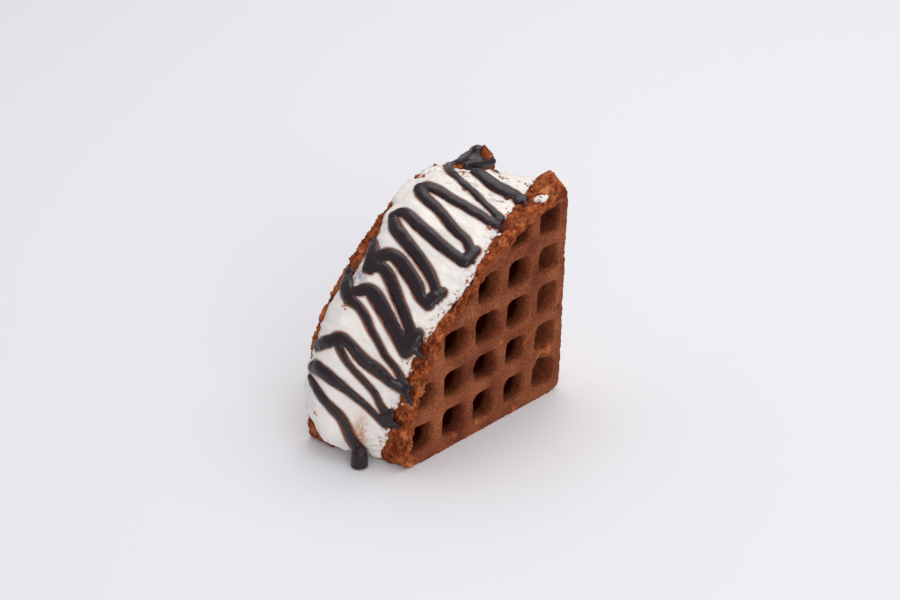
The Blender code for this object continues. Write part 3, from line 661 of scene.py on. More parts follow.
def crumbs_tree(material, joined):
    """Loose crumbs on faces where an attribute is high; joined keeps the surface they lie on."""
    tree = new_tree("Crumbs", (("Where", "NodeSocketString", "crumb"),
                               ("Density", "NodeSocketFloat", 100000.0),
                               ("Smallest", "NodeSocketFloat", 0.00020),
                               ("Largest", "NodeSocketFloat", 0.00070), ("Seed", "NodeSocketInt", 7)))
    source = add_node(tree, "NodeGroupInput")
    where = add_node(tree, "GeometryNodeInputNamedAttribute", {"data_type": "FLOAT"},
                     {"Name": source.outputs["Where"]})
    share = add_node(tree, "ShaderNodeMath", {"operation": "POWER"}, {0: where.outputs[0], 1: 3.0})
    density = add_node(tree, "ShaderNodeMath", {"operation": "MULTIPLY"},
                       {0: share.outputs[0], 1: source.outputs["Density"]})
    points = add_node(tree, "GeometryNodeDistributePointsOnFaces", {"distribute_method": "RANDOM"},
                      {"Mesh": source.outputs["Geometry"], "Density": density.outputs[0],
                       "Seed": source.outputs["Seed"]})
    ball = add_node(tree, "GeometryNodeMeshIcoSphere", links={"Radius": 1.0, "Subdivisions": 1})
    full = add_node(tree, "ShaderNodeValue")
    full.outputs[0].default_value = 1.0
    marked = add_node(tree, "GeometryNodeStoreNamedAttribute", {"data_type": "FLOAT", "domain": "POINT"},
                      {"Geometry": ball.outputs[0], "Name": "crumb", "Value": full.outputs[0]})
    turn = add_node(tree, "FunctionNodeRandomValue", {"data_type": "FLOAT_VECTOR"},
                    {0: (0.0, 0.0, 0.0), 1: (6.28, 6.28, 6.28), "Seed": source.outputs["Seed"]})
    sizes = add_node(tree, "FunctionNodeRandomValue", {"data_type": "FLOAT"},
                     {2: source.outputs["Smallest"], 3: source.outputs["Largest"],
                      "Seed": source.outputs["Seed"]})
    stretch = add_node(tree, "FunctionNodeRandomValue", {"data_type": "FLOAT_VECTOR"},
                       {0: (0.6, 0.6, 0.5), 1: (1.5, 1.2, 1.0), "Seed": source.outputs["Seed"]})
    scale = add_node(tree, "ShaderNodeVectorMath", {"operation": "SCALE"},
                     {0: stretch.outputs[0], "Scale": sizes.outputs[1]})
    crumbs = add_node(tree, "GeometryNodeInstanceOnPoints",
                      links={"Points": points.outputs["Points"], "Instance": marked.outputs[0],
                             "Rotation": turn.outputs[0], "Scale": scale.outputs[0]})
    tone = add_node(tree, "FunctionNodeRandomValue", {"data_type": "FLOAT"}, {2: 0.0, 3: 1.0, "Seed": 3})
    toned = add_node(tree, "GeometryNodeStoreNamedAttribute", {"data_type": "FLOAT", "domain": "INSTANCE"},
                     {"Geometry": crumbs.outputs[0], "Name": "torn", "Value": tone.outputs[1]})
    result = toned.outputs[0]
    if joined:
        join = add_node(tree, "GeometryNodeJoinGeometry", links={"Geometry": source.outputs["Geometry"]})
        tree.links.new(result, join.inputs["Geometry"])
        result = join.outputs[0]
    whole = add_node(tree, "GeometryNodeRealizeInstances", links={"Geometry": result})
    painted = add_node(tree, "GeometryNodeSetMaterial",
                       links={"Geometry": whole.outputs[0], "Material": material})
    add_node(tree, "NodeGroupOutput", links={"Geometry": painted.outputs[0]})
    return tree


def waffle_material(settings):
    """Baked chocolate waffle: matte, dry skin where the iron pressed it, open golden crumb where torn, with
    painted shade in the wells and in the crumb's hollows.
    """
    material = bpy.data.materials.new("Baked chocolate waffle")
    material.use_nodes = True
    tree = material.node_tree
    shader = tree.nodes["Principled BSDF"]
    place = add_node(tree, "ShaderNodeTexCoord").outputs["Object"]
    crumb = add_node(tree, "ShaderNodeAttribute", {"attribute_name": "crumb"}).outputs["Fac"]
    # Painted shade amount in the wells, also used to make them less shiny
    well = add_node(tree, "ShaderNodeAttribute", {"attribute_name": "well"}).outputs["Fac"]
    torn = add_node(tree, "ShaderNodeAttribute", {"attribute_name": "torn"}).outputs["Fac"]
    # Baking patches of about 12 mm, grain of about 0.8 mm and crumb cells of about 1.3 mm
    patch = add_node(tree, "ShaderNodeTexNoise", links={"Vector": place, "Scale": 80.0, "Detail": 3.0})
    grain = add_node(tree, "ShaderNodeTexNoise", links={"Vector": place, "Scale": 1250.0, "Detail": 4.0,
                                                        "Roughness": 0.65})
    cells = add_node(tree, "ShaderNodeTexNoise", links={"Vector": place, "Scale": 780.0, "Detail": 5.0,
                                                        "Roughness": 0.7})
    skin = colour_ramp(tree, patch.outputs["Fac"], ((0.30, settings.skin_dark), (0.70, settings.skin_light)))
    speck = colour_ramp(tree, grain.outputs["Fac"], ((0.36, "#8E7C74"), (0.58, "#FFFFFF")))
    skin = add_node(tree, "ShaderNodeMix", {"data_type": "RGBA", "blend_type": "MULTIPLY"},
                    {"Factor": 0.7, 6: skin, 7: speck}).outputs[2]
    clump = add_node(tree, "ShaderNodeTexNoise", links={"Vector": place, "Scale": 260.0, "Detail": 3.0})
    both = add_node(tree, "ShaderNodeMix", {"data_type": "FLOAT"},
                    {"Factor": 0.5, 2: cells.outputs["Fac"], 3: clump.outputs["Fac"]}).outputs[0]
    open_crumb = colour_ramp(tree, both, ((0.36, settings.crumb_dark), (0.50, settings.crumb_middle),
                                          (0.66, settings.crumb_light)))
    fresh = colour_ramp(tree, both, ((0.36, settings.crumb_middle), (0.60, settings.crumb_light)))
    open_crumb = add_node(tree, "ShaderNodeMix", {"data_type": "RGBA"},
                          {"Factor": torn, 6: open_crumb, 7: fresh}).outputs[2]
    # Painted shade in the crumb's hollows and painted light on its tips, multiplied into the open crumb
    # colour
    hollow = add_node(tree, "ShaderNodeAttribute", {"attribute_name": "hollow"}).outputs["Fac"]
    shade = colour_ramp(tree, hollow, ((0.15, "#FFF6EE"), (0.50, "#DDD2CA"), (0.90, "#8A6452")))
    open_crumb = add_node(tree, "ShaderNodeMix", {"data_type": "RGBA", "blend_type": "MULTIPLY"},
                          {"Factor": 0.65, 6: open_crumb, 7: shade}).outputs[2]
    colour = add_node(tree, "ShaderNodeMix", {"data_type": "RGBA"},
                      {"Factor": crumb, 6: skin, 7: open_crumb}).outputs[2]
    # Painted shade: the wells are darkened by multiplying in the painted well shade colour
    deep = add_node(tree, "ShaderNodeMix", {"data_type": "RGBA", "blend_type": "MULTIPLY"},
                    {"Factor": well, 6: colour, 7: linear(settings.well_painted_shade)}).outputs[2]
    tree.links.new(deep, shader.inputs["Base Color"])
    shader.inputs["Roughness"].default_value = 0.82
    dry = add_node(tree, "ShaderNodeMapRange", links={"Value": well, "To Min": 0.16, "To Max": 0.0})
    tree.links.new(dry.outputs["Result"], shader.inputs["Specular IOR Level"])
    height = add_node(tree, "ShaderNodeMath", {"operation": "MULTIPLY_ADD"},
                      {0: cells.outputs["Fac"], 1: crumb, 2: grain.outputs["Fac"]}).outputs[0]
    relief = add_node(tree, "ShaderNodeBump", links={"Strength": 0.55, "Distance": 0.0006, "Height": height})
    tree.links.new(relief.outputs["Normal"], shader.inputs["Normal"])
    return material


# Ice cream

# Dabs of cream left on the front rim: degrees, millimetres across and radius in millimetres
RIM_DABS = ((80.6, 2.4, 2.1), (79.7, 3.2, 1.4), (81.7, 1.9, 1.3), (66.0, 4.4, 0.9), (60.5, 3.2, 0.8),
            (36.0, 3.0, 0.8), (26.0, 4.6, 0.9), (17.5, 4.4, 0.8))
DAB_LIFT = 0.0008
DAB_FLATNESS = 0.75


def cream_blank():
    """Crowned band along the arc, as one closed body."""
    rows = 150
    columns = 70
    vertices = []
    for layer in (0.0, CREAM_BAND):
        for i in range(rows + 1):
            for j in range(columns + 1):
                across = mix(0.0005, DEPTH - 0.0005, j / columns)
                # The lower end is jagged, and higher up at the back than at the front
                lip = LIP_DEGREES + 1.4 * ease(0.026, 0.034, across) + 1.2 * ease(0.036, 0.042, across)
                lip -= 2.3 * (1.0 - ease(0.011, 0.017, across))
                jag = 0.8 * noise.noise(Vector((across * 240.0, 7.0, 0.0)))
                jag += 0.55 * noise.noise(Vector((across * 800.0, 9.0, 0.0)))
                degrees = mix(lip + jag, LAST_DEGREES, (i / rows) ** 1.04)
                point = arc_point(degrees, cream_radius(degrees, across) - layer, across)
                point.x = min(point.x, -FRONT_SLANT * point.z / WAFFLE_RADIUS - CREAM_EDGE_GAP - 0.0001)
                vertices.append(point)
    stride = columns + 1
    count = (rows + 1) * stride
    faces = []
    for i in range(rows):
        for j in range(columns):
            a = i * stride + j
            faces.append((a, a + 1, a + stride + 1, a + stride))
            faces.append((a + count, a + stride + count, a + stride + 1 + count, a + 1 + count))
    border = list(range(columns))
    border += [i * stride + columns for i in range(rows)]
    border += [rows * stride + j for j in range(columns, 0, -1)]
    border += [i * stride for i in range(rows, 0, -1)]
    for a, b in zip(border, border[1:] + border[:1]):
        faces.append((a, a + count, b + count, b))
    cap = mesh_object("ice_cream_visual", vertices, faces)
    outward(cap)
    return cap


def slab_radius(degrees):
    """Radius of the filling, just below the lapped band's surface."""
    return min(cream_radius(degrees, share) for share in (0.014, 0.022, 0.031)) - 0.002


def make_cream(settings):
    """The cream as one skin: band and filling joined, both waffles' room cut out, dabs added."""
    cap = cream_blank()
    points = []
    for point in quarter_outline(slab_radius, FRONT_SLANT, 0.0, 60):
        points.append(Vector((point[0] - CREAM_EDGE_GAP, max(point[1], CREAM_FLOOR_GAP))))
    filling = slab("filling", points, SPAN_IN + 0.0001, SPAN_OUT - 0.0001)
    add_boolean(cap, "UNION", filling)
    bake(cap)
    rooms = []
    for quarter in (FRONT, BACK):
        outline = quarter_outline(quarter.radius_rule, quarter.slant, -ROOM_INSET, 90)
        room = slab("room", outline, quarter.start + ROOM_INSET,
                    quarter.start + WAFFLE_THICKNESS - ROOM_INSET)
        rooms.append(room)
        add_boolean(cap, "DIFFERENCE", room)
    bake(cap)
    bm = bmesh.new()
    bm.from_mesh(cap.data)
    for degrees, across, radius in RIM_DABS:
        place = arc_point(degrees, front_radius(degrees) + DAB_LIFT, across * MM)
        add_blob(bm, place, arc_point(degrees, 1.0, 0.0), radius * MM, DAB_FLATNESS)
    bm.to_mesh(cap.data)
    bm.free()
    for helper in (filling, *rooms):
        remove(helper)
    return remesh(cap, settings.voxel, SKIN_SMOOTHING)


def syrup_samples():
    """Points along every run and pool of syrup with their radii, for the stain beside them."""
    samples = []
    for points in RUNS.values():
        for degrees, across, width in dense_run(points):
            radius = cream_radius(degrees, across * MM)
            samples.append((arc_point(degrees, radius, across * MM), width * MM / 2.0))
    for degrees, across, radius in POOLS:
        samples.append((arc_point(degrees, cream_radius(degrees, across * MM), across * MM), radius * MM))
    return samples


# Places on the cream with crumbs: degrees, millimetres across and size in millimetres
CRUMB_SPOTS = ((34.0, 31.4, 0.9), (70.5, 39.0, 1.6), (80.8, 19.5, 1.0), (76.5, 28.9, 1.5),
               (52.3, 41.0, 1.5), (24.5, 8.6, 1.4), (66.0, 9.0, 1.2), (10.0, 33.0, 0.8))
SPOT_CRUMBS = 2.2                # the crumb value of such a place, where the cream's border has 1
# Wet spots where syrup has melted into the cream: strength, then place and half width in degrees up the
# arc and in millimetres across
FILM_SPOTS = ((1.0, 41.0, 2.0, 33.5, 4.0), (1.0, 48.4, 2.2, 39.4, 2.4), (0.6, 27.0, 6.0, 41.5, 3.0))
SMEAR_AT = (8.0, 4.6)
SMEAR_ACROSS = (16.9, 2.3)
PORE_DEPTH = 0.0013
SMALL_PORE_DEPTH = 0.00035
DRAG_DEPTH = 0.00045


def soften_cream(obj, settings):
    """Swells, knife drags and pores of soft ice cream, and where syrup has stained it."""
    samples = syrup_samples()
    tree = kdtree.KDTree(len(samples))
    for index, (point, _half) in enumerate(samples):
        tree.insert(point, index)
    tree.balance()
    stain_values = []
    smear_values = []
    film_values = []
    rough_values = []
    border_values = []
    mesh = obj.data
    normals = [vertex.normal.copy() for vertex in mesh.vertices]
    for vertex, normal in zip(mesh.vertices, normals):
        co = vertex.co
        degrees = math.degrees(math.atan2(co.z, -co.x))
        across = co.y / MM
        outer = ease(-0.25, 0.35, normal.dot(arc_point(degrees, 1.0, 0.0)))
        _point, index, distance = tree.find(co)
        gap = distance - samples[index][1]
        stain_values.append(1.0 - ease(-0.00010, settings.stain_width, gap))
        smear_values.append(bump(degrees, *SMEAR_AT) * bump(across, *SMEAR_ACROSS))
        film_values.append(max(strength * bump(degrees, along, length) * bump(across, middle, width)
                               for strength, along, length, middle, width in FILM_SPOTS))
        swell = noise.noise(co * 95.0) + 0.5 * noise.noise(co * 210.0)
        drag = noise.noise(Vector((degrees * 0.55, across * 0.10, 2.0)))
        rough = ease(66.0, 74.0, degrees) * (1.0 - ease(84.0, 90.0, degrees)) * ease(8.0, 12.0, across)
        rough = max(rough, 1.0 - ease(1.0, 4.0, degrees))
        front_edge = cream_front_edge(degrees) / MM
        rough = max(rough, 0.8 * (1.0 - ease(front_edge + 1.5, front_edge + 4.5, across)))
        rough_values.append(rough)
        back_edge = cream_back_edge(degrees) / MM
        border = 1.0 - ease(0.4, 2.6, min(across - front_edge, back_edge - across))
        for spot_degrees, spot_across, size in CRUMB_SPOTS:
            spot = SPOT_CRUMBS * bump(degrees, spot_degrees, size * 0.6)
            border = max(border, spot * bump(across, spot_across, size))
        facing = ease(0.2, 0.7, normal.dot(arc_point(degrees, 1.0, 0.0)))
        border_values.append(border * facing * ease(2.0, 5.0, degrees))
        push = settings.swell * (0.5 * swell + 0.5 * drag) * outer
        push += 0.00014 * noise.noise(co * 900.0) + 0.00022 * noise.noise(co * 380.0)
        cell = noise.voronoi(co * 300.0)[0][0]
        push -= rough * PORE_DEPTH * (1.0 - ease(0.08, 0.36, cell))
        push += rough * DRAG_DEPTH * noise.noise(Vector((degrees * 1.4, across * 0.35, 8.0)))
        small = noise.voronoi(co * 420.0 + Vector((5.0, 1.0, 2.0)))[0][0]
        push -= SMALL_PORE_DEPTH * (1.0 - ease(0.03, 0.14, small))
        co += normal * push
        co.z = max(co.z, CREAM_LOWEST)
    for vertex in mesh.vertices:
        vertex.co = placed(vertex.co)
    mesh.update()
    store(obj, "stain", stain_values)
    store(obj, "smear", smear_values)
    store(obj, "film", film_values)
    store(obj, "rough", rough_values)
    store(obj, "border", border_values)


def cream_material(settings):
    """Vanilla ice cream, soft and just melting: light scatters in it and its skin is slightly wet."""
    material = bpy.data.materials.new("Vanilla ice cream")
    material.use_nodes = True
    tree = material.node_tree
    shader = tree.nodes["Principled BSDF"]
    place = add_node(tree, "ShaderNodeTexCoord").outputs["Object"]
    stain = add_node(tree, "ShaderNodeAttribute", {"attribute_name": "stain"}).outputs["Fac"]
    smear = add_node(tree, "ShaderNodeAttribute", {"attribute_name": "smear"}).outputs["Fac"]
    film = add_node(tree, "ShaderNodeAttribute", {"attribute_name": "film"}).outputs["Fac"]
    rough = add_node(tree, "ShaderNodeAttribute", {"attribute_name": "rough"}).outputs["Fac"]
    # Milk tones change over about 10 mm, wisps over 2 mm, ice specks are 1 to 4 mm long, and pores 0.7 mm
    tone = add_node(tree, "ShaderNodeTexNoise", links={"Vector": place, "Scale": 100.0, "Detail": 4.0})
    pore = add_node(tree, "ShaderNodeTexNoise", links={"Vector": place, "Scale": 1400.0, "Detail": 2.0})
    base = colour_ramp(tree, tone.outputs["Fac"], ((0.32, settings.cream_cool), (0.62, settings.cream_warm)))
    wisps = add_node(tree, "ShaderNodeTexNoise", links={"Vector": place, "Scale": 420.0, "Detail": 3.0,
                                                        "Distortion": 0.8})
    streak = colour_ramp(tree, wisps.outputs["Fac"], ((0.34, "#202020"), (0.56, "#FFFFFF")))
    smeared = add_node(tree, "ShaderNodeMath", {"operation": "MULTIPLY"}, {0: smear, 1: streak}).outputs[0]
    base = add_node(tree, "ShaderNodeMix", {"data_type": "RGBA"},
                    {"Factor": smeared, 6: base, 7: linear(settings.smear_colour)}).outputs[2]
    filmed = add_node(tree, "ShaderNodeMath", {"operation": "MULTIPLY"}, {0: film, 1: streak}).outputs[0]
    base = add_node(tree, "ShaderNodeMix", {"data_type": "RGBA"},
                    {"Factor": filmed, 6: base, 7: linear(settings.film_colour)}).outputs[2]
    drawn = add_node(tree, "ShaderNodeMapping", links={"Vector": place, "Scale": (0.55, 0.40, 1.5)})
    grit = add_node(tree, "ShaderNodeTexNoise", links={"Vector": drawn.outputs[0], "Scale": 700.0,
                                                       "Detail": 3.0})
    speck = colour_ramp(tree, grit.outputs["Fac"], ((0.57, "#505050"), (0.70, "#FFFFFF")))
    specked = add_node(tree, "ShaderNodeMath", {"operation": "MULTIPLY"}, {0: rough, 1: speck}).outputs[0]
    base = add_node(tree, "ShaderNodeMix", {"data_type": "RGBA"},
                    {"Factor": specked, 6: base, 7: linear(settings.speck_colour)}).outputs[2]
    base = add_node(tree, "ShaderNodeMix", {"data_type": "RGBA"},
                    {"Factor": stain, 6: base, 7: linear(settings.stain_colour)}).outputs[2]
    tree.links.new(base, shader.inputs["Base Color"])
    shader.inputs["Roughness"].default_value = 0.42
    shader.inputs["IOR"].default_value = 1.38
    shader.inputs["Subsurface Weight"].default_value = 0.35
    shader.inputs["Subsurface Radius"].default_value = (1.0, 0.75, 0.55)
    shader.inputs["Subsurface Scale"].default_value = 0.0022
    relief = add_node(tree, "ShaderNodeBump", links={"Strength": 0.4, "Distance": 0.0004,
                                                     "Height": pore.outputs["Fac"]})
    tree.links.new(relief.outputs["Normal"], shader.inputs["Normal"])
    return material


# Syrup

def dense_run(points, step=0.22):
    """Smooth samples of a run (degrees, millimetres across, width) through its given places."""
    dense = []
    padded = [points[0], *points, points[-1]]
    for index in range(len(points) - 1):
        p0, p1, p2, p3 = padded[index:index + 4]
        length = math.hypot((p2[0] - p1[0]) * 1.6, p2[1] - p1[1])
        steps = max(int(length / step), 2)
        for k in range(steps):
            t = k / steps
            dense.append(tuple(
                0.5 * (2.0 * b + (c - a) * t + (2.0 * a - 5.0 * b + 4.0 * c - d) * t * t
                       + (3.0 * b - a - 3.0 * c + d) * t ** 3)
                for a, b, c, d in zip(p0, p1, p2, p3)))
    dense.append(points[-1])
    return dense


def resting_radius(degrees, across):
    """The surface that syrup lies on: the cream, or the rims where the cream has ended."""
    rim = front_radius(degrees) if across < SPAN_IN else back_radius(degrees) + back_tip(degrees, across)
    bare = across < SPAN_IN or across > SPAN_OUT
    return max(cream_radius(degrees, across), rim + 0.0001 if bare else 0.0)


def runs_object():
    """All the runs as one polyline mesh, with each point's radius and outward direction."""
    vertices = []
    edges = []
    radii = []
    directions = []
    for name, points in RUNS.items():
        dense = dense_run(points)
        rests = [resting_radius(degrees, across * MM) for degrees, across, _width in dense]
        for index, (degrees, across, width) in enumerate(dense):
            wobble = 1.0 + 0.12 * noise.noise(Vector((degrees * 0.8, across * 0.35, len(name))))
            wobble += 0.08 * noise.noise(Vector((degrees * 1.6, across * 0.8, len(name) + 20.0)))
            degrees += 0.22 * noise.noise(Vector((degrees * 1.1, across * 0.6, len(name) + 40.0)))
            near = rests[max(index - 7, 0):index + 8]
            height = sum(near) / len(near) + 0.0001
            if index:
                edges.append((len(vertices) - 1, len(vertices)))
            vertices.append(arc_point(degrees, height, across * MM))
            radii.append(width * wobble * MM / 2.0)
            directions.append(arc_point(degrees, 1.0, 0.0))
    obj = mesh_object("syrup_visual", vertices, [], edges)
    store(obj, "half_width", radii)
    attribute = obj.data.attributes.new("outward", "FLOAT_VECTOR", "POINT")
    for item, direction in zip(attribute.data, directions):
        item.vector = direction
    return obj


def syrup_tree(material):
    """Sweeps a bead along each run and presses it flat along the outward direction."""
    tree = new_tree("Syrup runs", (("Flatness", "NodeSocketFloat", 0.6), ("Sides", "NodeSocketInt", 12)))
    source = add_node(tree, "NodeGroupInput")
    curve = add_node(tree, "GeometryNodeMeshToCurve", links={"Mesh": source.outputs["Geometry"]})
    here = add_node(tree, "GeometryNodeInputPosition")
    kept = add_node(tree, "GeometryNodeStoreNamedAttribute", {"data_type": "FLOAT_VECTOR", "domain": "POINT"},
                    {"Geometry": curve.outputs[0], "Name": "middle", "Value": here.outputs[0]})
    ring = add_node(tree, "GeometryNodeCurvePrimitiveCircle",
                    links={"Resolution": source.outputs["Sides"], "Radius": 1.0})
    half = add_node(tree, "GeometryNodeInputNamedAttribute", {"data_type": "FLOAT"}, {"Name": "half_width"})
    bead = add_node(tree, "GeometryNodeCurveToMesh",
                    links={"Curve": kept.outputs[0], "Profile Curve": ring.outputs[0],
                           "Scale": half.outputs[0], "Fill Caps": True})
    middle = add_node(tree, "GeometryNodeInputNamedAttribute", {"data_type": "FLOAT_VECTOR"},
                      {"Name": "middle"})
    direction = add_node(tree, "GeometryNodeInputNamedAttribute", {"data_type": "FLOAT_VECTOR"},
                         {"Name": "outward"})
    away = add_node(tree, "ShaderNodeVectorMath", {"operation": "SUBTRACT"},
                    {0: here.outputs[0], 1: middle.outputs[0]})
    rise = add_node(tree, "ShaderNodeVectorMath", {"operation": "DOT_PRODUCT"},
                    {0: away.outputs[0], 1: direction.outputs[0]})
    cut = add_node(tree, "ShaderNodeMath", {"operation": "SUBTRACT"}, {0: source.outputs["Flatness"], 1: 1.0})
    change = add_node(tree, "ShaderNodeMath", {"operation": "MULTIPLY"},
                      {0: rise.outputs["Value"], 1: cut.outputs[0]})
    shift = add_node(tree, "ShaderNodeVectorMath", {"operation": "SCALE"},
                     {0: direction.outputs[0], "Scale": change.outputs[0]})
    pressed = add_node(tree, "GeometryNodeSetPosition",
                       links={"Geometry": bead.outputs[0], "Offset": shift.outputs[0]})
    whole = add_node(tree, "GeometryNodeRealizeInstances", links={"Geometry": pressed.outputs[0]})
    painted = add_node(tree, "GeometryNodeSetMaterial",
                       links={"Geometry": whole.outputs[0], "Material": material})
    add_node(tree, "NodeGroupOutput", links={"Geometry": painted.outputs[0]})
    return tree


def add_blob(bm, centre, outward_direction, radius, flat):
    """A ball pressed flat along the outward direction."""
    made = bmesh.ops.create_icosphere(bm, subdivisions=3, radius=radius)
    for vertex in made["verts"]:
        rise = vertex.co.dot(outward_direction)
        vertex.co += outward_direction * rise * (flat - 1.0)
        vertex.co += centre


def add_rod(bm, start, end, radius_start, radius_end, steps=8):
    """A round-ended tapering rod as a row of overlapping balls."""
    for step in range(steps + 1):
        t = step / steps
        centre = start.lerp(end, t)
        made = bmesh.ops.create_icosphere(bm, subdivisions=2, radius=mix(radius_start, radius_end, t))
        bmesh.ops.translate(bm, verts=made["verts"], vec=centre)


def even_out_top(obj):
    """The syrup over the broken tip has run together, so its surface is drawn smooth there."""
    bm = bmesh.new()
    bm.from_mesh(obj.data)
    first_degrees, first_across = SMOOTHED_TIP
    tip = []
    for vertex in bm.verts:
        degrees = math.degrees(math.atan2(vertex.co.z, -vertex.co.x))
        if vertex.co.y > first_across and degrees > first_degrees:
            tip.append(vertex)
    for _ in range(SMOOTHING_ROUNDS):
        bmesh.ops.smooth_vert(bm, verts=tip, factor=0.5, use_axis_x=True, use_axis_y=True, use_axis_z=True)
    bm.to_mesh(obj.data)
    bm.free()


def make_syrup(settings, material):
    """Runs, pools, spikes and the drip joined in one smooth skin."""
    obj = runs_object()
    run_tree(obj, syrup_tree(material), {"Flatness": settings.flatness})
    bm = bmesh.new()
    bm.from_mesh(obj.data)
    for points in RUNS.values():
        for degrees, across, width in (points[0], points[-1]):
            surface = arc_point(degrees, resting_radius(degrees, across * MM) + 0.0001, across * MM)
            add_blob(bm, surface, arc_point(degrees, 1.0, 0.0), width * MM / 2.0, settings.flatness)
    for degrees, across, radius in POOLS:
        direction = arc_point(degrees, 1.0, 0.0)
        surface = arc_point(degrees, resting_radius(degrees, across * MM), across * MM)
        add_blob(bm, surface, direction, radius * MM, POOL_FLATNESS)
    for first, second in zip(WALL_BLOBS, WALL_BLOBS[1:]):
        for step in range(WALL_STEPS):
            share = step / WALL_STEPS
            degrees, across, below, radius = (mix(a, b, share) for a, b in zip(first, second))
            place = arc_point(degrees, back_radius(degrees) - below * MM, across * MM)
            add_blob(bm, place, Vector((0.0, 1.0, 0.0)), radius * MM, WALL_FLATNESS)
    for degrees, across, end_degrees, end_across, radius in SPIKES:
        start = arc_point(degrees, resting_radius(degrees, across * MM), across * MM)
        end = arc_point(end_degrees, resting_radius(end_degrees, end_across * MM), end_across * MM)
        add_rod(bm, start, end, radius * MM, radius * MM * SPIKE_TIP)
    degrees, across, width = RUNS["ninth"][-1]
    lip = arc_point(degrees, resting_radius(degrees, across * MM), across * MM)
    top = Vector((*DRIP_PLACE, DRIP_HEIGHT - 0.001))
    bend = lip.lerp(top, 0.5) + DRIP_BOW
    add_rod(bm, lip, bend, width * MM / 2.0, DRIP_NECK)
    add_rod(bm, bend, top, DRIP_NECK, DRIP_RADIUS * 0.78)
    column = bmesh.ops.create_cone(bm, cap_ends=True, segments=32, radius1=DRIP_RADIUS * 1.08,
                                   radius2=DRIP_RADIUS * 0.94, depth=DRIP_HEIGHT - 0.0002)
    bmesh.ops.translate(bm, verts=column["verts"], vec=(*DRIP_PLACE, DRIP_HEIGHT / 2.0 + 0.0001))
    bmesh.ops.recalc_face_normals(bm, faces=bm.faces)
    bm.to_mesh(obj.data)
    bm.free()
    remesh(obj, settings.voxel, SYRUP_SMOOTHING)
    even_out_top(obj)
    thin_values = []
    mesh = obj.data
    for vertex in mesh.vertices:
        co = vertex.co
        degrees = math.degrees(math.atan2(co.z, -co.x))
        rise = math.hypot(co.x, co.z) - resting_radius(degrees, co.y)
        thin_values.append(1.0 - ease(0.00005, settings.thin_edge, rise))
        co.z = max(co.z, 0.0)
    for vertex in mesh.vertices:
        vertex.co = placed(vertex.co)
    mesh.update()
    store(obj, "thin", thin_values)
    return obj


def syrup_material(settings):
    """Chocolate syrup: thick, dark and glossy, and reddish brown where it is thin enough to see through."""
    material = bpy.data.materials.new("Chocolate syrup")
    material.use_nodes = True
    tree = material.node_tree
    shader = tree.nodes["Principled BSDF"]
    place = add_node(tree, "ShaderNodeTexCoord").outputs["Object"]
    thin = add_node(tree, "ShaderNodeAttribute", {"attribute_name": "thin"}).outputs["Fac"]
    colour = colour_ramp(tree, thin, ((0.0, settings.syrup_thick), (0.35, settings.syrup_thick),
                                      (1.0, settings.syrup_thin)))
    tree.links.new(colour, shader.inputs["Base Color"])
    # A skin forms on it in the cold: slow ripples of about 3 mm
    ripple = add_node(tree, "ShaderNodeTexNoise", links={"Vector": place, "Scale": 330.0, "Detail": 2.0})
    rough = add_node(tree, "ShaderNodeMapRange", links={"Value": ripple.outputs["Fac"], "From Min": 0.35,
                                                        "From Max": 0.65, "To Min": 0.20, "To Max": 0.38})
    tree.links.new(rough.outputs["Result"], shader.inputs["Roughness"])
    shader.inputs["IOR"].default_value = 1.45
    relief = add_node(tree, "ShaderNodeBump", links={"Strength": 0.20, "Distance": 0.0005,
                                                     "Height": ripple.outputs["Fac"]})
    tree.links.new(relief.outputs["Normal"], shader.inputs["Normal"])
    return material


# Studio

FLOOR_REACH = 3.0
LIT_PLACE = (0.0, 0.0, 0.04)
KEY_PLACE = (0.42, 0.06, 1.1)
KEY_SIZE = (1.3, 1.3)
KEY_COLOUR = (1.0, 0.99, 0.98)
FILL_PLACE = (-0.6, -1.0, 0.55)
FILL_SIZE = (0.9, 0.7)
FILL_COLOUR = (1.0, 1.0, 1.0)


def area_light(name, place, target, size, power, colour):
    """A soft rectangular light at a place, aimed at a target."""
    data = bpy.data.lights.new(name, "AREA")
    data.shape = "RECTANGLE"
    data.size = size[0]
    data.size_y = size[1]
    data.energy = power
    data.color = colour
    obj = bpy.data.objects.new(name, data)
    bpy.context.scene.collection.objects.link(obj)
    direction = Vector(target) - Vector(place)
    obj.matrix_world = Matrix.Translation(place) @ direction.to_track_quat("-Z", "Y").to_matrix().to_4x4()


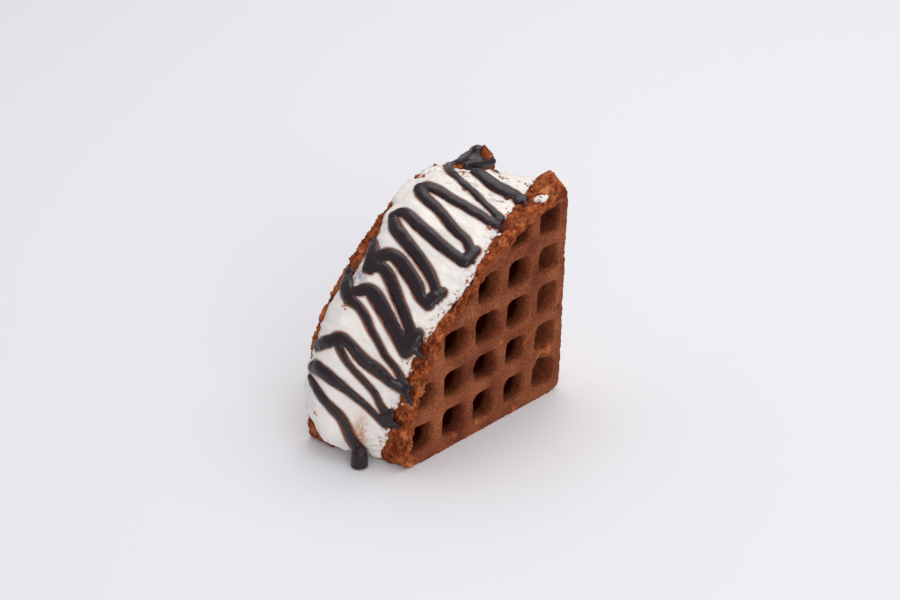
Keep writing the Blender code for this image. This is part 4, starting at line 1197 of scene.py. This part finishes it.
class WaffleSettings(bpy.types.PropertyGroup):
    well_pitch: FloatProperty(name="Well pitch", description="Distance between well centres",
                              default=0.017, unit="LENGTH")
    well_edge: FloatProperty(name="Well mouth", description="Width of a well at the face",
                             default=0.0124, unit="LENGTH")
    well_floor: FloatProperty(name="Well floor", description="Width of a well at its floor",
                              default=0.0078, unit="LENGTH")
    well_depth: FloatProperty(name="Well depth", description="Depth of a well", default=0.0070,
                              unit="LENGTH")
    well_corner: FloatProperty(name="Well corner", description="Corner radius of a well",
                               default=0.0027, unit="LENGTH")
    rim_wall: FloatProperty(name="Rim wall", description="Thickness left between a well and the arc",
                            default=0.0045, unit="LENGTH")
    crumb_count: FloatProperty(name="Crumbs", description="Loose crumbs on each square metre of open crumb",
                               default=220000.0)
    voxel: FloatProperty(name="Skin size", description="Face size of the baked skin", default=0.00052,
                         unit="LENGTH")
    grain_depth: FloatProperty(name="Grain depth", description="Height of the fine grain",
                               default=0.00016, unit="LENGTH")
    crumb_depth: FloatProperty(name="Crumb depth", description="Depth of the open crumb on the rim",
                               default=0.0011, unit="LENGTH")
    skin_dark: StringProperty(name="Dark skin", description="sRGB hex colour", default="#75351F")
    skin_light: StringProperty(name="Light skin", description="sRGB hex colour", default="#AA623E")
    crumb_dark: StringProperty(name="Dark crumb", description="sRGB hex colour", default="#5A240E")
    crumb_middle: StringProperty(name="Crumb", description="sRGB hex colour", default="#A04C25")
    crumb_light: StringProperty(name="Light crumb", description="sRGB hex colour", default="#D08A54")
    # Painted shade colour multiplied into the wells, standing in for the shade inside them
    well_painted_shade: StringProperty(name="Painted well shade", description="sRGB hex colour that darkens the wells",
                              default="#4A1A0A")


class CreamSettings(bpy.types.PropertyGroup):
    voxel: FloatProperty(name="Skin size", description="Face size of the cream's skin", default=0.00055,
                         unit="LENGTH")
    swell: FloatProperty(name="Swell", description="Height of the soft swells", default=0.0006,
                         unit="LENGTH")
    crumb_count: FloatProperty(name="Crumbs", default=550000.0,
                               description="Crumbs on each square metre of the cream's borders")
    stain_width: FloatProperty(name="Stain width", description="How far syrup stains the cream",
                               default=0.00090, unit="LENGTH")
    cream_cool: StringProperty(name="Cool cream", description="sRGB hex colour", default="#EAE5E2")
    cream_warm: StringProperty(name="Warm cream", description="sRGB hex colour", default="#F6EFE6")
    smear_colour: StringProperty(name="Syrup smear", description="sRGB hex colour", default="#C4946E")
    film_colour: StringProperty(name="Melted film", description="sRGB hex colour", default="#8F8A9C")
    speck_colour: StringProperty(name="Ice specks", description="sRGB hex colour", default="#B4A49A")
    stain_colour: StringProperty(name="Stain", description="sRGB hex colour", default="#85492C")


class SyrupSettings(bpy.types.PropertyGroup):
    voxel: FloatProperty(name="Skin size", description="Face size of the syrup's skin", default=0.00038,
                         unit="LENGTH")
    flatness: FloatProperty(name="Flatness", description="Height of a run as a share of its width",
                            default=0.44, min=0.2, max=1.0)
    thin_edge: FloatProperty(name="Thin edge", description="Height below which syrup shows reddish",
                             default=0.00045, unit="LENGTH")
    syrup_thick: StringProperty(name="Thick syrup", description="sRGB hex colour", default="#23141A")
    syrup_thin: StringProperty(name="Thin syrup", description="sRGB hex colour", default="#5E2C1A")


class StageSettings(bpy.types.PropertyGroup):
    floor_colour: StringProperty(name="Floor", description="sRGB hex colour", default="#E9E8EB")
    key_power: FloatProperty(name="Key light", description="Power of the overhead light", default=9.8,
                             unit="POWER")
    fill_power: FloatProperty(name="Fill light", description="Power of the front light", default=5.6,
                              unit="POWER")
    sky: FloatProperty(name="Sky", description="Strength of the even surrounding light", default=0.52)


class SANDWICH_OT_waffles(bpy.types.Operator):
    """Builds both waffle quarters"""
    bl_idname = "sandwich.waffles"
    bl_label = "Build waffle quarters"

    def execute(self, context):
        settings = context.scene.sandwich_waffle
        material = waffle_material(settings)
        for quarter in (FRONT, BACK):
            obj = pressed_quarter(quarter, settings, material)
            remesh(obj, settings.voxel, SKIN_SMOOTHING)
            crumble(obj, quarter, settings)
            run_tree(obj, crumbs_tree(material, True),
                     {"Density": settings.crumb_count, "Seed": int(quarter.seed)})
            # Crumbs under the cut edge are pressed flat by the floor
            for vertex in obj.data.vertices:
                vertex.co.z = max(vertex.co.z, 0.0)
            finish_piece(obj, material, quarter.node)
        return {"FINISHED"}


class SANDWICH_OT_ice_cream(bpy.types.Operator):
    """Builds the ice cream between the waffles and over their rims"""
    bl_idname = "sandwich.ice_cream"
    bl_label = "Build ice cream"

    def execute(self, context):
        settings = context.scene.sandwich_cream
        obj = make_cream(settings)
        soften_cream(obj, settings)
        material = bpy.data.materials["Baked chocolate waffle"]
        crumbs = bpy.data.objects.new("crumbs_visual", obj.data.copy())
        crumbs.data.name = crumbs.name
        context.scene.collection.objects.link(crumbs)
        run_tree(crumbs, crumbs_tree(material, False), {"Where": "border", "Density": settings.crumb_count,
                                                      "Largest": 0.00055})
        finish_piece(obj, cream_material(settings), "ice_cream")
        finish_piece(crumbs, material, "waffle_front")
        return {"FINISHED"}


class SANDWICH_OT_syrup(bpy.types.Operator):
    """Builds the chocolate drizzle with its pools and its drip"""
    bl_idname = "sandwich.syrup"
    bl_label = "Build chocolate syrup"

    def execute(self, context):
        settings = context.scene.sandwich_syrup
        material = syrup_material(settings)
        obj = make_syrup(settings, material)
        finish_piece(obj, material, "ice_cream")
        return {"FINISHED"}


class SANDWICH_OT_stage(bpy.types.Operator):
    """Builds the floor, the lights and the camera"""
    bl_idname = "sandwich.stage"
    bl_label = "Build studio"

    def execute(self, context):
        settings = context.scene.sandwich_stage
        reach = FLOOR_REACH
        corners = ((-reach, -reach, 0.0), (reach, -reach, 0.0), (reach, reach, 0.0), (-reach, reach, 0.0))
        floor = mesh_object("studio_floor", corners, [(0, 1, 2, 3)])
        material = bpy.data.materials.new("Pale studio card")
        material.use_nodes = True
        shader = material.node_tree.nodes["Principled BSDF"]
        shader.inputs["Base Color"].default_value = linear(settings.floor_colour)
        shader.inputs["Roughness"].default_value = 0.9
        shader.inputs["Specular IOR Level"].default_value = 0.2
        floor.data.materials.append(material)
        area_light("overhead_softbox", KEY_PLACE, LIT_PLACE, KEY_SIZE, settings.key_power, KEY_COLOUR)
        area_light("front_fill", FILL_PLACE, LIT_PLACE, FILL_SIZE, settings.fill_power, FILL_COLOUR)
        world = bpy.data.worlds.new("Even studio")
        context.scene.world = world
        world.use_nodes = True
        background = world.node_tree.nodes["Background"]
        background.inputs["Color"].default_value = linear("#EDEDF2")
        background.inputs["Strength"].default_value = settings.sky
        data = bpy.data.cameras.new("photo_camera")
        data.lens = CAMERA_LENS
        data.sensor_width = 36.0
        camera = bpy.data.objects.new("photo_camera", data)
        context.scene.collection.objects.link(camera)
        camera.matrix_world = (Matrix.Translation(CAMERA_PLACE) @ Matrix.Rotation(CAMERA_AZIMUTH, 4, "Z")
                               @ Matrix.Rotation(math.pi / 2.0 - CAMERA_ELEVATION, 4, "X")
                               @ Matrix.Rotation(CAMERA_ROLL, 4, "Z"))
        context.scene.camera = camera
        context.scene.view_settings.view_transform = "Standard"
        return {"FINISHED"}


class SANDWICH_PT_panel(bpy.types.Panel):
    """Lists the sandwich's builders and their settings"""
    bl_idname = "SANDWICH_PT_panel"
    bl_label = "Sandwich"
    bl_space_type = "VIEW_3D"
    bl_region_type = "UI"
    bl_category = "Sandwich"

    def draw(self, context):
        for group, operator in STEPS:
            column = self.layout.column()
            settings = getattr(context.scene, group)
            for key in settings.bl_rna.properties.keys():
                if key not in {"rna_type", "name"}:
                    column.prop(settings, key)
            column.operator(operator)


STEPS = (("sandwich_waffle", "sandwich.waffles"), ("sandwich_cream", "sandwich.ice_cream"),
         ("sandwich_syrup", "sandwich.syrup"), ("sandwich_stage", "sandwich.stage"))
GROUPS = {"sandwich_waffle": WaffleSettings, "sandwich_cream": CreamSettings,
          "sandwich_syrup": SyrupSettings, "sandwich_stage": StageSettings}
CLASSES = (WaffleSettings, CreamSettings, SyrupSettings, StageSettings, SANDWICH_OT_waffles,
           SANDWICH_OT_ice_cream, SANDWICH_OT_syrup, SANDWICH_OT_stage, SANDWICH_PT_panel)


def register():
    for cls in CLASSES:
        bpy.utils.register_class(cls)
    for name, group in GROUPS.items():
        setattr(bpy.types.Scene, name, PointerProperty(type=group))


def unregister():
    for name in GROUPS:
        delattr(bpy.types.Scene, name)
    for cls in reversed(CLASSES):
        bpy.utils.unregister_class(cls)


def main():
    register()
    bpy.ops.sandwich.waffles()
    bpy.ops.sandwich.ice_cream()
    bpy.ops.sandwich.syrup()
    bpy.ops.sandwich.stage()


if __name__ == "__main__":
    main()
